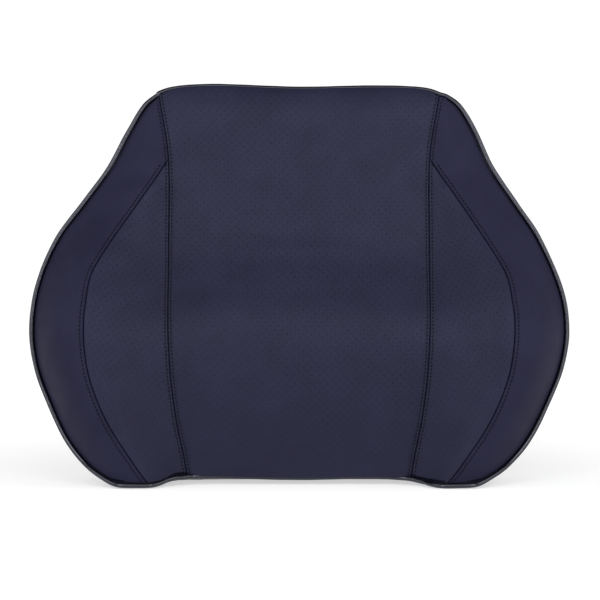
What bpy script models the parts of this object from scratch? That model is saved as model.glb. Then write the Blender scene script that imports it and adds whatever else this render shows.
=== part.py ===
"""Lumbar support cushion: a contoured foam core in a boxed leather cover with a piped edge,
a zipped flat back, and a webbing strap with a side-release buckle.

The cushion stands on its base. +Z is up and the padded front faces -Y. Lengths in the tables are in
millimetres, and "depth" is the distance forward from the outer face of the flat back.
"""

import math

import bmesh
import bpy
from mathutils import Vector

MM = 0.001
BACK_Y = 40.5  # where the back's outer face stands in Y, so that the whole object is centred

# Layers, from the outside in
LEATHER = 1.2
LINER = 0.5
GAP = 0.3  # between pieces that touch
SEAM_GAP = 0.4  # between the edges of two panels sewn together
SLACK = 0.8  # between the curved layers of the padding, which are free to shift
PIPING_R = 2.0
EDGE_INSET = 2 * PIPING_R + GAP  # from the silhouette to the front panels' edges
BOXING_INSET = PIPING_R  # from the silhouette to the boxing's outer face
LINER_INSET = BOXING_INSET + LEATHER + SLACK
FOAM_INSET = LINER_INSET + LINER + SLACK
LINER_FRONT = LEATHER + SLACK  # the liner's outer face behind the leather's outer face
FOAM_FRONT = LINER_FRONT + LINER + SLACK
LINER_BACK = 2.5
FOAM_BACK = LINER_BACK + LINER + GAP

# Right half of the silhouette, from the base's middle round to the top's middle: x, depth, z
OUTLINE = [
    (0, 50, 3),
    (45, 50, 3.8),
    (85, 53, 4.5),
    (101, 64, 2.2),
    (114, 76, 0.2),
    (130, 78, 0),
    (143, 77, 0.8),
    (153, 71, 4.5),
    (170, 61, 15),
    (188, 54, 35),
    (204, 50, 64),
    (216, 47, 93),
    (221, 45, 125),
    (216.5, 42.5, 160),
    (200, 38, 201),
    (180, 33, 231),
    (160, 28, 261),
    (146, 25, 290),
    (133, 23, 312),
    (122, 22, 321),
    (109, 22, 326.5),
    (92, 22, 328.7),
    (60, 22, 329.3),
    (0, 22, 328),
]
STEPS_PER_KNOT = 3

# Main seam, between the centre panel and the sides, and wing seam, along the bolster's crest: z, value
MAIN_SEAM_X = [(0, 90), (20, 93), (53, 99), (94, 103.5), (191, 107), (268, 108), (318, 116), (330, 118)]
MAIN_SEAM_DEPTH = [
    (0, 52),
    (20, 57),
    (53, 64),
    (94, 71),
    (118, 73),
    (137, 68),
    (160, 56),
    (185, 44),
    (210, 38),
    (268, 34),
    (305, 31),
    (318, 28),
    (330, 23),
]
WING_SEAM_X = [(0, 117), (17, 129), (55, 152), (87, 165), (118, 170), (146, 169.5), (177, 163), (265, 109)]
WING_SEAM_DEPTH = [(0, 78), (17, 82), (55, 88), (87, 91), (118, 91), (146, 86), (177, 73), (220, 50), (265, 35)]
WING_SEAM_TOP = 264  # where the wing seam meets the main seam
CENTRE_CROWN = 5  # how far the centre panel's middle stands in front of its seams

# Back: the zip runs across the lower part
ZIP_Z = 48
ZIP_HALF_LENGTH = 150
ZIP_SLOT = 10  # between the two back panels' edges along the zip
ZIP_SLOT_HALF = 166
COIL_W = 2.5
COIL_T = 2.0
COIL_DEPTH = 1.5  # the coil's middle
TAPE_W = 12
TAPE_T = 0.6
TAPE_OVERRUN = 12  # tape beyond the coil's end
COIL_OVERRUN = 1
STOP_HALF = (1.0, 2.7)  # an end stop's half length and half width
STOP_OFFSET = (5.4, 7.4)  # from the coil's ends to the left and right stops
RELIEF_HALF_X = ZIP_SLOT_HALF + 2  # hollow behind the zip
RELIEF_HALF_Z = 9
RELIEF_DEEP = 1.6

# Strap and buckle, across the upper back
STRAP_Z = 190
STRAP_W = 38
STRAP_T = 1.5
STRAP_END_X = 181
KEEPER_T = 0.5  # the elastic loop's thickness under the strap
STRAP_LIFT = GAP + KEEPER_T + GAP  # the strap's distance from the back
BUCKLE_DEPTH = -6.2  # the buckle's middle plane, behind the back
TAB_X = (150, 184)
TAB_HALF_Z = 24
TAIL_LEFT_X = 84
TAIL_RIGHT_X = 136


def smooth(t, table):
    """Value at t of the smooth curve through a table of (position, value) pairs."""
    if t <= table[0][0]:
        return table[0][1]
    if t >= table[-1][0]:
        return table[-1][1]
    i = max(k for k in range(len(table) - 1) if table[k][0] <= t)
    slopes = []
    for k in (i, i + 1):
        before = table[max(k - 1, 0)]
        after = table[min(k + 1, len(table) - 1)]
        slopes.append((after[1] - before[1]) / (after[0] - before[0]))
    (t0, a), (t1, b) = table[i], table[i + 1]
    h = t1 - t0
    s = (t - t0) / h
    return (
        a * (1 + 2 * s) * (1 - s) ** 2
        + b * s * s * (3 - 2 * s)
        + h * s * (1 - s) * (slopes[0] * (1 - s) - slopes[1] * s)
    )


def outline_loop():
    """The whole silhouette as a closed list of (x, depth, z), anticlockwise seen from the front."""
    right = [Vector(p) for p in OUTLINE]
    left = [Vector((-p[0], p[1], p[2])) for p in reversed(OUTLINE[1:-1])]
    knots = right + left
    count = len(knots)
    around = [knots[k % count] for k in range(-2, count + 3)]
    lengths = [0.0]
    for a, b in zip(around, around[1:]):
        lengths.append(lengths[-1] + (b - a).length)
    tables = [[(s, p[axis]) for s, p in zip(lengths, around)] for axis in range(3)]
    points = []
    for k in range(2, count + 2):
        for j in range(STEPS_PER_KNOT):
            s = lengths[k] + (lengths[k + 1] - lengths[k]) * j / STEPS_PER_KNOT
            points.append(Vector([smooth(s, table) for table in tables]))
    return points


LOOP = outline_loop()


def inset_loop(inset):
    """The silhouette moved inwards, keeping each point's depth."""
    count = len(LOOP)
    moved = []
    for k, p in enumerate(LOOP):
        along = LOOP[(k + 1) % count] - LOOP[k - 1]
        normal = Vector((-along.z, 0, along.x)).normalized()
        moved.append(p + normal * inset)
    return moved


INSET_LOOPS = {}
SIDE_TOP = 327.8  # the silhouette's lowest height along the top
MIDDLE_Z = 160


def crossings(inset, axis, value):
    """Points where the inset silhouette's right half crosses a height (axis 2) or a width (axis 0)."""
    if inset not in INSET_LOOPS:
        INSET_LOOPS[inset] = inset_loop(inset)
    loop = INSET_LOOPS[inset]
    found = []
    for a, b in zip(loop, loop[1:] + loop[:1]):
        if max(a.x, b.x) < 0 or a[axis] == b[axis]:
            continue
        t = (value - a[axis]) / (b[axis] - a[axis])
        if 0 <= t <= 1:
            found.append(a.lerp(b, t))
    return found


def edge_at(z, inset):
    """Half width and depth of the inset silhouette at height z, or at its nearest height."""
    points = crossings(inset, 2, min(max(z, inset + 0.7), SIDE_TOP - inset))
    widest = max(points, key=lambda p: p.x)
    return widest.x, widest.y


def bottom_z(x, inset):
    return min(p.z for p in crossings(inset, 0, abs(x)))


def top_z(x, inset):
    return max(p.z for p in crossings(inset, 0, abs(x)))


def seam_x(z):
    return smooth(z, MAIN_SEAM_X)


def wing_x(z):
    """Half width at the bolster's crest: the wing seam, and above it a line just outside the main seam."""
    least = seam_x(z) + 4
    return max(smooth(z, WING_SEAM_X), least) if z < WING_SEAM_TOP else least


def wing_depth(z):
    return smooth(z, WING_SEAM_DEPTH) if z < WING_SEAM_TOP else smooth(z, MAIN_SEAM_DEPTH)


def front_depth(x, z):
    """Depth of the leather's outer face at a place on the front."""
    a = abs(x)
    seam = seam_x(z)
    crest = wing_x(z)
    seam_depth = smooth(z, MAIN_SEAM_DEPTH)
    if a <= seam:
        crown = CENTRE_CROWN * math.sin(math.pi * min(max((z - 5) / 322, 0), 1))
        return seam_depth + crown * (1 - (a / seam) ** 2)
    if a <= crest:
        t = (a - seam) / (crest - seam)
        t = 0.5 * t + 0.5 * t * t * (3 - 2 * t)
        return seam_depth + (wing_depth(z) - seam_depth) * t
    edge, edge_depth = edge_at(z, EDGE_INSET)
    t = min((a - crest) / (edge - crest), 1.2)
    return edge_depth + (wing_depth(z) - edge_depth) * (1 - t * t)


def sunk_depth(x, z, below):
    """Depth of a surface that lies the given distance under the leather, and clear of the piping."""
    step = 1.0
    across = (front_depth(x + step, z) - front_depth(x - step, z)) / (2 * step)
    up = (front_depth(x, z + step) - front_depth(x, z - step)) / (2 * step)
    depth = front_depth(x, z) - below * min(math.sqrt(1 + across * across + up * up), 2.6)
    cords = crossings(PIPING_R, 0, abs(x))
    cord = min(cords, key=lambda p: abs(p.z - z))
    reach = below + PIPING_R - 0.4
    if abs(cord.z - z) < reach:
        depth = min(depth, cord.y - math.sqrt(reach**2 - (cord.z - z) ** 2))
    return depth


def place(x, depth, z):
    """A point in metres from its millimetre position."""
    return Vector((x, BACK_Y - depth, z)) * MM


def new_material(name, colour, roughness, metallic=0.0):
    material = bpy.data.materials.new(name)
    material.use_nodes = True
    shader = material.node_tree.nodes["Principled BSDF"]
    shader.inputs["Base Color"].default_value = (*colour, 1)
    shader.inputs["Roughness"].default_value = roughness
    shader.inputs["Metallic"].default_value = metallic
    material.diffuse_color = (*colour, 1)
    return material


def add_object(name, bm, material, origin, collection, round_piece=False):
    """Make a named object from a bmesh whose points are in world metres."""
    bmesh.ops.translate(bm, verts=bm.verts, vec=-origin)
    for face in bm.faces:
        face.smooth = round_piece
    mesh = bpy.data.meshes.new(name)
    bm.to_mesh(mesh)
    bm.free()
    mesh.materials.append(material)
    obj = bpy.data.objects.new(name, mesh)
    obj.location = origin
    collection.objects.link(obj)
    return obj


def solidify(obj, thickness, offset=-1.0):
    modifier = obj.modifiers.new("Thickness", "SOLIDIFY")
    modifier.thickness = thickness * MM
    modifier.offset = offset
    modifier.use_even_offset = True


def bevel(obj, width, segments=1):
    modifier = obj.modifiers.new("Bevel", "BEVEL")
    modifier.width = width * MM
    modifier.segments = segments
    modifier.limit_method = "ANGLE"


def box(bm, x, depth, z):
    """Add a block spanning the given (low, high) pairs, in millimetres."""
    size = Vector((x[1] - x[0], depth[1] - depth[0], z[1] - z[0])) * MM
    middle = place((x[0] + x[1]) / 2, (depth[0] + depth[1]) / 2, (z[0] + z[1]) / 2)
    made = bmesh.ops.create_cube(bm, size=1)["verts"]
    bmesh.ops.scale(bm, vec=size, verts=made)
    bmesh.ops.translate(bm, vec=middle, verts=made)


def block(name, x, depth, z, material, collection):
    bm = bmesh.new()
    box(bm, x, depth, z)
    origin = place((x[0] + x[1]) / 2, (depth[0] + depth[1]) / 2, (z[0] + z[1]) / 2)
    return add_object(name, bm, material, origin, collection)


def combine(obj, x, depth, z, operation, cutters):
    """Join a block to an object, or cut it away."""
    bm = bmesh.new()
    box(bm, x, depth, z)
    tool = add_object(f"tool_{len(cutters.objects)}", bm, obj.data.materials[0], Vector(), cutters)
    tool.hide_render = True
    tool.display_type = "WIRE"
    modifier = obj.modifiers.new(operation.title(), "BOOLEAN")
    modifier.operation = operation
    modifier.solver = "EXACT"
    modifier.object = tool


def slab(name, outline, low, high, plane, material, origin, collection):
    """Extrude a flat closed outline. Plane "XZ" runs through the depths low to high, "XD" through heights."""
    curve = bpy.data.curves.new(name, "CURVE")
    curve.dimensions = "2D"
    curve.fill_mode = "BOTH"
    curve.extrude = (high - low) / 2 * MM
    spline = curve.splines.new("POLY")
    spline.points.add(len(outline) - 1)
    middle = (low + high) / 2
    for point, (u, v) in zip(spline.points, outline):
        local = (u * MM - origin.x, v * MM - origin.z) if plane == "XZ" else (u * MM - origin.x, -v * MM)
        point.co = (local[0], local[1], 0, 1)
    spline.use_cyclic_u = True
    shape = bpy.data.objects.new(name + "_shape", curve)
    collection.objects.link(shape)
    graph = bpy.context.evaluated_depsgraph_get()
    mesh = bpy.data.meshes.new_from_object(shape.evaluated_get(graph))
    bpy.data.objects.remove(shape)
    bpy.data.curves.remove(curve)
    mesh.name = name
    bm = bmesh.new()
    bm.from_mesh(mesh)
    bmesh.ops.remove_doubles(bm, verts=bm.verts, dist=0.000002)
    bmesh.ops.recalc_face_normals(bm, faces=bm.faces)
    bm.to_mesh(mesh)
    bm.free()
    mesh.materials.clear()
    mesh.materials.append(material)
    obj = bpy.data.objects.new(name, mesh)
    if plane == "XZ":
        obj.rotation_euler = (math.pi / 2, 0, 0)
        obj.location = (origin.x, place(0, middle, 0).y, origin.z)
    else:
        obj.location = (origin.x, place(0, 0, 0).y, middle * MM)
    collection.objects.link(obj)
    return obj


def grid_panel(name, columns, rows, point, material, collection):
    """A leather panel: a grid carried onto the front by point(u, v), thickened inwards."""
    bm = bmesh.new()
    bmesh.ops.create_grid(bm, x_segments=columns, y_segments=rows, size=0.5)
    for vert in bm.verts:
        x, z = point(vert.co.x + 0.5, vert.co.y + 0.5)
        vert.co = place(x, front_depth(x, z), z)
    bm.normal_update()
    if sum(face.normal.y * face.calc_area() for face in bm.faces) > 0:
        bmesh.ops.reverse_faces(bm, faces=bm.faces)
    origin = sum((vert.co for vert in bm.verts), Vector()) / len(bm.verts)
    obj = add_object(name, bm, material, origin, collection, round_piece=True)
    solidify(obj, LEATHER)
    return obj


def lerp(a, b, t):
    return a + (b - a) * t


PANEL_TOP = 317.5  # where the wing panels run out between the seam and the piping
WING_SEAM_GAP = 1.2
ROW_HEIGHTS = [18, 34, 52, 70, 86, 100, 112, 122, 132, 143, 155, 169, 185, 203, 223, 240, 256, 268, 284, 298, 310]
CENTRE_COLUMNS = 12
SIDE_COLUMNS = 4
WING_COLUMNS = 5


def row_height(v, low, high, rows):
    """Height of a place along a panel, from its low end over the shared rows to its high end."""
    heights = [low] + rows + [high]
    k = v * (len(heights) - 1)
    i = min(int(k + 1e-6), len(heights) - 2)
    return lerp(heights[i], heights[i + 1], k - i)


SIDE_PANEL_TOP = WING_SEAM_TOP - 8
SIDE_ROWS = [z for z in ROW_HEIGHTS if z < SIDE_PANEL_TOP - 5]
WING_ROWS = [9.5] + ROW_HEIGHTS


def centre_point(u, v):
    low = bottom_z(lerp(-89, 89, u), EDGE_INSET)
    high = top_z(lerp(-115, 115, u), EDGE_INSET)
    z = row_height(v, low, high, ROW_HEIGHTS)
    reach = seam_x(z) - SEAM_GAP / 2
    return lerp(-reach, reach, u), z


def side_point(u, v):
    low = bottom_z(lerp(91, 118, u), EDGE_INSET)
    z = row_height(v, low, SIDE_PANEL_TOP, SIDE_ROWS)
    return lerp(seam_x(z) + SEAM_GAP / 2, wing_x(z) - WING_SEAM_GAP / 2, u), z


def wing_point(u, v):
    z = row_height(v, EDGE_INSET + 0.8, PANEL_TOP, WING_ROWS)
    inner = wing_x(z) if z < WING_SEAM_TOP - 4 else seam_x(z)
    return lerp(inner + WING_SEAM_GAP / 2, edge_at(z, EDGE_INSET)[0], u), z


def front_panels(leather, perforated, collection):
    grid_panel(
        "centre_panel", CENTRE_COLUMNS, len(ROW_HEIGHTS) + 1, centre_point, perforated, collection
    )
    for side, sign in (("left", -1), ("right", 1)):
        grid_panel(
            f"inner_panel_{side}",
            SIDE_COLUMNS,
            len(SIDE_ROWS) + 1,
            lambda u, v, s=sign: (s * side_point(u, v)[0], side_point(u, v)[1]),
            perforated,
            collection,
        )
        grid_panel(
            f"wing_panel_{side}",
            WING_COLUMNS,
            len(WING_ROWS) + 1,
            lambda u, v, s=sign: (s * wing_point(u, v)[0], wing_point(u, v)[1]),
            leather,
            collection,
        )


def piping(material, collection):
    """A round cord in a leather sleeve, sewn into the seam all round the front."""
    curve = bpy.data.curves.new("edge_piping", "CURVE")
    curve.dimensions = "3D"
    curve.bevel_depth = PIPING_R * MM
    curve.bevel_resolution = 2
    path = inset_loop(PIPING_R)
    spline = curve.splines.new("POLY")
    spline.points.add(len(path) - 1)
    for point, p in zip(spline.points, path):
        point.co = (*place(p.x, p.y, p.z), 1)
    spline.use_cyclic_u = True
    spline.use_smooth = True
    curve.materials.append(material)
    obj = bpy.data.objects.new("edge_piping", curve)
    collection.objects.link(obj)


def band(name, start, end, material, collection):
    """Boxing strip between the back and the piping, along part of the silhouette."""
    path = inset_loop(BOXING_INSET)[start - 1 : end + 1]
    bm = bmesh.new()
    rows = []
    for before, p, after in zip(path, path[1:], path[2:]):
        slope = (after.y - before.y) / math.hypot(after.x - before.x, after.z - before.z)
        front = p.y - (PIPING_R + GAP) * math.sqrt(1 + slope**2)
        rows.append([bm.verts.new(place(p.x, lerp(LEATHER + GAP, front, t), p.z)) for t in (0, 0.5, 1)])
    for a, b in zip(rows, rows[1:]):
        for k in range(2):
            bm.faces.new((a[k], b[k], b[k + 1], a[k + 1]))
    bm.normal_update()
    middle = path[len(path) // 2]
    outward = Vector((middle.x, 0, middle.z - MIDDLE_Z))
    if sum(face.normal.dot(outward) for face in bm.faces) < 0:
        bmesh.ops.reverse_faces(bm, faces=bm.faces)
    origin = place(middle.x, middle.y / 2, middle.z)
    obj = add_object(name, bm, material, origin, collection, round_piece=True)
    solidify(obj, LEATHER)


BASE_HALF = 141  # half length of the flat base strip


def boxing(material, collection):
    """Top, side and base strips. The base strip is flat, and the cushion stands on it."""
    count = len(LOOP)
    half = count // 2
    side_start = 6 * STEPS_PER_KNOT + 1
    side_end = 18 * STEPS_PER_KNOT
    band("gusset_right", side_start, side_end + 1, material, collection)
    band("gusset_top", side_end + 1, count - side_end, material, collection)
    band("gusset_left", count - side_end, count - side_start + 1, material, collection)
    front = [
        (p.x, p.y - PIPING_R - GAP)
        for p in inset_loop(PIPING_R)[: half // 2]
        if p.x < BASE_HALF and p.z < PIPING_R + 5
    ]
    right = front + [(BASE_HALF, 76 - PIPING_R - GAP), (BASE_HALF, LEATHER + GAP)]
    outline = right + [(-x, depth) for x, depth in reversed(right) if x > 0]
    slab("gusset_bottom", outline, 0, LEATHER, "XD", material, Vector(), collection)


def back_outline():
    """Right half of the back's edge from the base's corner up to the top's middle."""
    half = len(LOOP) // 2
    path = [(p.x, p.z) for p in inset_loop(BOXING_INSET)[: half + 1]]
    return [(142, 0)] + [p for k, p in enumerate(path) if k > 6 * STEPS_PER_KNOT]


def back_panels(material, collection):
    edge = back_outline()
    low_edge = ZIP_Z - SEAM_GAP / 2
    high_edge = ZIP_Z + SEAM_GAP / 2
    slot = ZIP_SLOT / 2
    side_x = edge_at(ZIP_Z, BOXING_INSET)[0]
    lower = [p for p in edge if p[1] < low_edge - 1]
    lower += [(side_x, low_edge), (ZIP_SLOT_HALF, low_edge), (ZIP_SLOT_HALF, ZIP_Z - slot)]
    upper = [(ZIP_SLOT_HALF, ZIP_Z + slot), (ZIP_SLOT_HALF, high_edge), (side_x, high_edge)]
    upper += [p for p in edge if p[1] > high_edge + 1]
    for name, half, origin_z in (("lower", lower, 24), ("upper", upper, 180)):
        outline = half + [(-x, z) for x, z in reversed(half) if x > 0.01]
        origin = Vector((0, 0, origin_z * MM))
        slab(f"back_panel_{name}", outline, 0, LEATHER, "XZ", material, origin, collection)


FOOT_HEIGHTS = [5, 7, 9.5]  # extra levels that take the body round the piping at the base


def stacked_body(name, inset, below, back, material, collection):
    """Closed body whose level sections follow the front's contour, set in from the cover's faces."""
    bm = bmesh.new()
    rings = []
    base = LEATHER + GAP + 1.3 * (inset - LINER_INSET)
    heights = [base] + FOOT_HEIGHTS + ROW_HEIGHTS + [SIDE_TOP - inset]
    for z in heights:
        edge = edge_at(z, inset)[0]
        crest = min(wing_x(z), edge - 3)
        seam = min(seam_x(z), crest - 3)
        right = [seam * k / (CENTRE_COLUMNS // 2) for k in range(CENTRE_COLUMNS // 2)]
        right += [lerp(seam, crest, k / SIDE_COLUMNS) for k in range(SIDE_COLUMNS)]
        right += [lerp(crest, edge, k / WING_COLUMNS) for k in range(WING_COLUMNS + 1)]
        xs = [-x for x in reversed(right[1:])] + right
        ring = [(x, sunk_depth(x, z, below)) for x in xs]
        ring += [(edge, back), (-edge, back)]
        rings.append([bm.verts.new(place(x, depth, z)) for x, depth in ring])
    for a, b in zip(rings, rings[1:]):
        for k in range(len(a)):
            n = (k + 1) % len(a)
            bm.faces.new((a[k], a[n], b[n], b[k]))
    bm.faces.new(rings[0])
    bm.faces.new(list(reversed(rings[-1])))
    bmesh.ops.recalc_face_normals(bm, faces=bm.faces)
    return add_object(name, bm, material, place(0, 30, 150), collection, round_piece=False)


def padding(foam, liner, collection, cutters):
    """Foam block, and its thin liner that is open behind the zip."""
    core = stacked_body("foam_core", FOAM_INSET, FOAM_FRONT, FOAM_BACK, foam, collection)
    relief = (-RELIEF_HALF_X, RELIEF_HALF_X)
    height = (ZIP_Z - RELIEF_HALF_Z, ZIP_Z + RELIEF_HALF_Z)
    combine(core, relief, (FOAM_BACK - 5, FOAM_BACK + RELIEF_DEEP), height, "DIFFERENCE", cutters)
    cover = stacked_body("inner_liner", LINER_INSET, LINER_FRONT, LINER_BACK, liner, collection)
    solidify(cover, LINER)
    opening = (ZIP_Z - RELIEF_HALF_Z + 1, ZIP_Z + RELIEF_HALF_Z - 1)
    combine(cover, relief, (LINER_BACK - 5, LINER_BACK + 2), opening, "DIFFERENCE", cutters)


def zip_fastener(tape, coil, metal, collection, cutters):
    """Closed zip across the lower back: tapes, coils, end stops, slider and pull."""
    end = ZIP_HALF_LENGTH + TAPE_OVERRUN
    tape_depth = (LEATHER + GAP, LEATHER + GAP + TAPE_T)
    coil_depth = (COIL_DEPTH - COIL_T / 2, COIL_DEPTH + COIL_T / 2)
    coil_end = ZIP_HALF_LENGTH + COIL_OVERRUN
    for name, sign in (("upper", 1), ("lower", -1)):
        near = ZIP_Z + sign * SEAM_GAP / 2
        far = near + sign * COIL_W
        z = tuple(sorted((near, far)))
        piece = block(f"zip_coil_{name}", (-coil_end - 3, coil_end), coil_depth, z, coil, collection)
        bevel(piece, 0.5, 2)
        start = far + sign * GAP
        z = tuple(sorted((start, start + sign * TAPE_W)))
        block(f"zip_tape_{name}", (-end, end), tape_depth, z, tape, collection)
    long, wide = STOP_HALF
    for name, x in (("left", -coil_end - STOP_OFFSET[0]), ("right", coil_end + STOP_OFFSET[1])):
        span = (x - long, x + long)
        stop = block(f"zip_stop_{name}", span, coil_depth, (ZIP_Z - wide, ZIP_Z + wide), metal, collection)
        bevel(stop, 0.3)
    slider_parts(metal, collection, cutters)


SLIDER_X = ZIP_HALF_LENGTH
PULL_AXIS_DEPTH = -1.9


def slider_parts(metal, collection, cutters):
    """Slider body: two plates joined by a wedge ahead of the coil, with an arch for the pull."""
    x = SLIDER_X
    outer = (COIL_DEPTH - COIL_T / 2 - GAP - 1.0, COIL_DEPTH - COIL_T / 2 - GAP)
    inner = (COIL_DEPTH + COIL_T / 2 + GAP, COIL_DEPTH + COIL_T / 2 + GAP + 1.0)
    width = (ZIP_Z - 4.2, ZIP_Z + 4.2)
    body = block("zip_slider", (x - 6, x + 5.5), outer, width, metal, collection)
    overlap = 0.2
    wedge = (x + 1.6, x + 4.4)
    combine(body, wedge, (outer[1] - overlap, inner[0] + overlap), (ZIP_Z - 1, ZIP_Z + 1), "UNION", cutters)
    combine(body, (x - 6, x + 5.5), inner, width, "UNION", cutters)
    top = PULL_AXIS_DEPTH - 1.1
    for leg in (-4.2, 3.2):
        span = (x + leg, x + leg + 1.0)
        combine(body, span, (top - 0.5, outer[0] + overlap), (ZIP_Z - 1, ZIP_Z + 1), "UNION", cutters)
    combine(body, (x - 4.2, x + 4.2), (top - 0.9, top), (ZIP_Z - 0.98, ZIP_Z + 0.98), "UNION", cutters)
    length = 25
    half_width = 3.2
    ring_end = 0.6
    thick = 0.6
    bm = bmesh.new()
    box(
        bm,
        (x - length, x + ring_end),
        (PULL_AXIS_DEPTH - thick, PULL_AXIS_DEPTH + thick),
        (ZIP_Z - half_width, ZIP_Z + half_width),
    )
    axis = place(x, PULL_AXIS_DEPTH, ZIP_Z)
    pull = add_object("zip_pull", bm, metal, axis, collection)
    hole = (x - 6, x - ring_end)
    through = (PULL_AXIS_DEPTH - 2, PULL_AXIS_DEPTH + 2)
    combine(pull, hole, through, (ZIP_Z - 1.6, ZIP_Z + 1.6), "DIFFERENCE", cutters)


def ribbon(name, path, material, collection):
    """Webbing laid along a path of (x, depth) points in a level plane, as wide as the strap."""
    bm = bmesh.new()
    rows = []
    for x, depth in path:
        rows.append([bm.verts.new(place(x, depth, STRAP_Z + side * STRAP_W / 2)) for side in (-1, 1)])
    for a, b in zip(rows, rows[1:]):
        bm.faces.new((a[0], b[0], b[1], a[1]))
    obj = add_object(name, bm, material, place(path[0][0], path[0][1], STRAP_Z), collection)
    solidify(obj, STRAP_T, 0.0)


KEEPER_X = 112  # where the loop round the strap's tail sits
BAR_X = 36.5  # the strap bars' middles, either side of the buckle
BAR_HALF_X = 1.6
BAR_HALF_DEPTH = 1.2
WRAP_R = 3.1  # radius of the webbing's middle round a bar


def strap_path(sign, tail_x):
    """From the side anchor along the back, round the buckle's bar, and back over itself."""
    run = -STRAP_LIFT - STRAP_T / 2
    over = run - STRAP_T - GAP
    bar = BAR_X
    points = [(STRAP_END_X, run), (bar + 20, run), (bar + 9, run - 0.4)]
    steps = 8
    for k in range(steps + 1):
        angle = math.pi / 2 + math.pi * k / steps
        points.append((bar + WRAP_R * math.cos(angle), BUCKLE_DEPTH + WRAP_R * math.sin(angle)))
    points += [(bar + 9, BUCKLE_DEPTH - WRAP_R + 1.2), (bar + 20, over - 0.5), (bar + 27, over), (tail_x, over)]
    return [(sign * x, depth) for x, depth in points]


def strap(webbing, leather, collection, cutters):
    """Two webbing straps sewn to the sides of the back, with anchor tabs and a keeper for the tail."""
    ribbon("strap_left", strap_path(-1, TAIL_LEFT_X), webbing, collection)
    ribbon("strap_right", strap_path(1, TAIL_RIGHT_X), webbing, collection)
    high = -STRAP_LIFT - STRAP_T - GAP - LEATHER
    for name, sign in (("left", -1), ("right", 1)):
        x = tuple(sorted((sign * TAB_X[0], sign * TAB_X[1])))
        height = (STRAP_Z - TAB_HALF_Z, STRAP_Z + TAB_HALF_Z)
        tab = block(f"strap_anchor_{name}", x, (high, -GAP), height, leather, collection)
        recess = (STRAP_Z - STRAP_W / 2 - GAP, STRAP_Z + STRAP_W / 2 + GAP)
        combine(tab, (x[0] - 5, x[1] + 5), (high + LEATHER, 5), recess, "DIFFERENCE", cutters)
    under = -STRAP_LIFT + GAP
    over = -STRAP_LIFT - 2 * STRAP_T - 2 * GAP
    half = STRAP_W / 2 + GAP
    low, wide = (KEEPER_X - 5, KEEPER_X + 5), (KEEPER_X - 9, KEEPER_X + 9)
    keeper = block(
        "strap_keeper",
        low,
        (over - 2 * KEEPER_T, under + KEEPER_T),
        (STRAP_Z - half - 1.5, STRAP_Z + half + 1.5),
        webbing,
        collection,
    )
    combine(keeper, wide, (over, under), (STRAP_Z - half, STRAP_Z + half), "DIFFERENCE", cutters)


SHELL_HALF_DEPTH = 4.8
SOCKET_END = -32
SOCKET_MOUTH = 12
SOCKET_HALF_Z = 25
PLUG_X = (12.6, 32)
PLUG_HALF_Z = 24
TONGUE_END = -12
CAVITY_HALF_DEPTH = 2.6
CAVITY_HALF_WIDTH = 19
ARM_PIVOT = (13.0, 11.0)  # x, and height from the strap's middle


def buckle(plastic, collection, cutters):
    """Side-release buckle, closed: the plug's two arms hook into the socket's side windows."""
    mid = BUCKLE_DEPTH
    shell = (mid - SHELL_HALF_DEPTH, mid + SHELL_HALF_DEPTH)
    height = (STRAP_Z - SOCKET_HALF_Z, STRAP_Z + SOCKET_HALF_Z)
    socket = block("buckle_socket", (SOCKET_END, SOCKET_MOUTH), shell, height, plastic, collection)
    bevel(socket, 1.2, 2)
    cavity = (mid - CAVITY_HALF_DEPTH, mid + CAVITY_HALF_DEPTH)
    inside = (STRAP_Z - CAVITY_HALF_WIDTH, STRAP_Z + CAVITY_HALF_WIDTH)
    combine(socket, (-22, SOCKET_MOUTH + 5), cavity, inside, "DIFFERENCE", cutters)
    for sign in (-1, 1):
        window = tuple(sorted((STRAP_Z + sign * (CAVITY_HALF_WIDTH - 2), STRAP_Z + sign * 30)))
        combine(socket, (-17, -5), cavity, window, "DIFFERENCE", cutters)
    strap_bar(socket, -1, -30, cutters)
    height = (STRAP_Z - PLUG_HALF_Z, STRAP_Z + PLUG_HALF_Z)
    plug = block("buckle_plug", PLUG_X, shell, height, plastic, collection)
    bevel(plug, 1.2, 2)
    strap_bar(plug, 1, 30, cutters)
    tongue = (mid - CAVITY_HALF_DEPTH + 0.5, mid + CAVITY_HALF_DEPTH - 0.5)
    combine(plug, (TONGUE_END, PLUG_X[0] + 1.4), tongue, (STRAP_Z - 3, STRAP_Z + 3), "UNION", cutters)
    pivot_x, pivot_z = ARM_PIVOT
    profile = [
        (12.0, 9),
        (12.0, 13),
        (4, 14.5),
        (-5.6, 15),
        (-5.6, 22.4),
        (-9, 22.8),
        (-14.5, 17.5),
        (-15.5, 14.5),
        (-13.5, 12.5),
        (-4, 10.5),
    ]
    for name, sign in (("upper", 1), ("lower", -1)):
        outline = [(x, STRAP_Z + sign * z) for x, z in profile]
        origin = Vector((pivot_x, 0, STRAP_Z + sign * pivot_z)) * MM
        slab(f"buckle_arm_{name}", outline, tongue[0], tongue[1], "XZ", plastic, origin, collection)


def strap_bar(body, sign, edge, cutters):
    """Two side cheeks and a bar between them, at the end of a buckle half."""
    cheek = tuple(sorted((sign * (abs(edge) - 2), sign * (BAR_X + BAR_HALF_X))))
    bar = tuple(sorted((sign * (BAR_X - BAR_HALF_X), sign * (BAR_X + BAR_HALF_X - 0.3))))
    depth = (BUCKLE_DEPTH - BAR_HALF_DEPTH, BUCKLE_DEPTH + BAR_HALF_DEPTH)
    inner = STRAP_W / 2 + 0.8
    for side in (-1, 1):
        z = tuple(sorted((STRAP_Z + side * inner, STRAP_Z + side * (inner + 3))))
        combine(body, cheek, (BUCKLE_DEPTH - 2.5, BUCKLE_DEPTH + 2.5), z, "UNION", cutters)
    across = (STRAP_Z - inner - 1, STRAP_Z + inner + 1)
    combine(body, bar, depth, across, "UNION", cutters)


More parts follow.
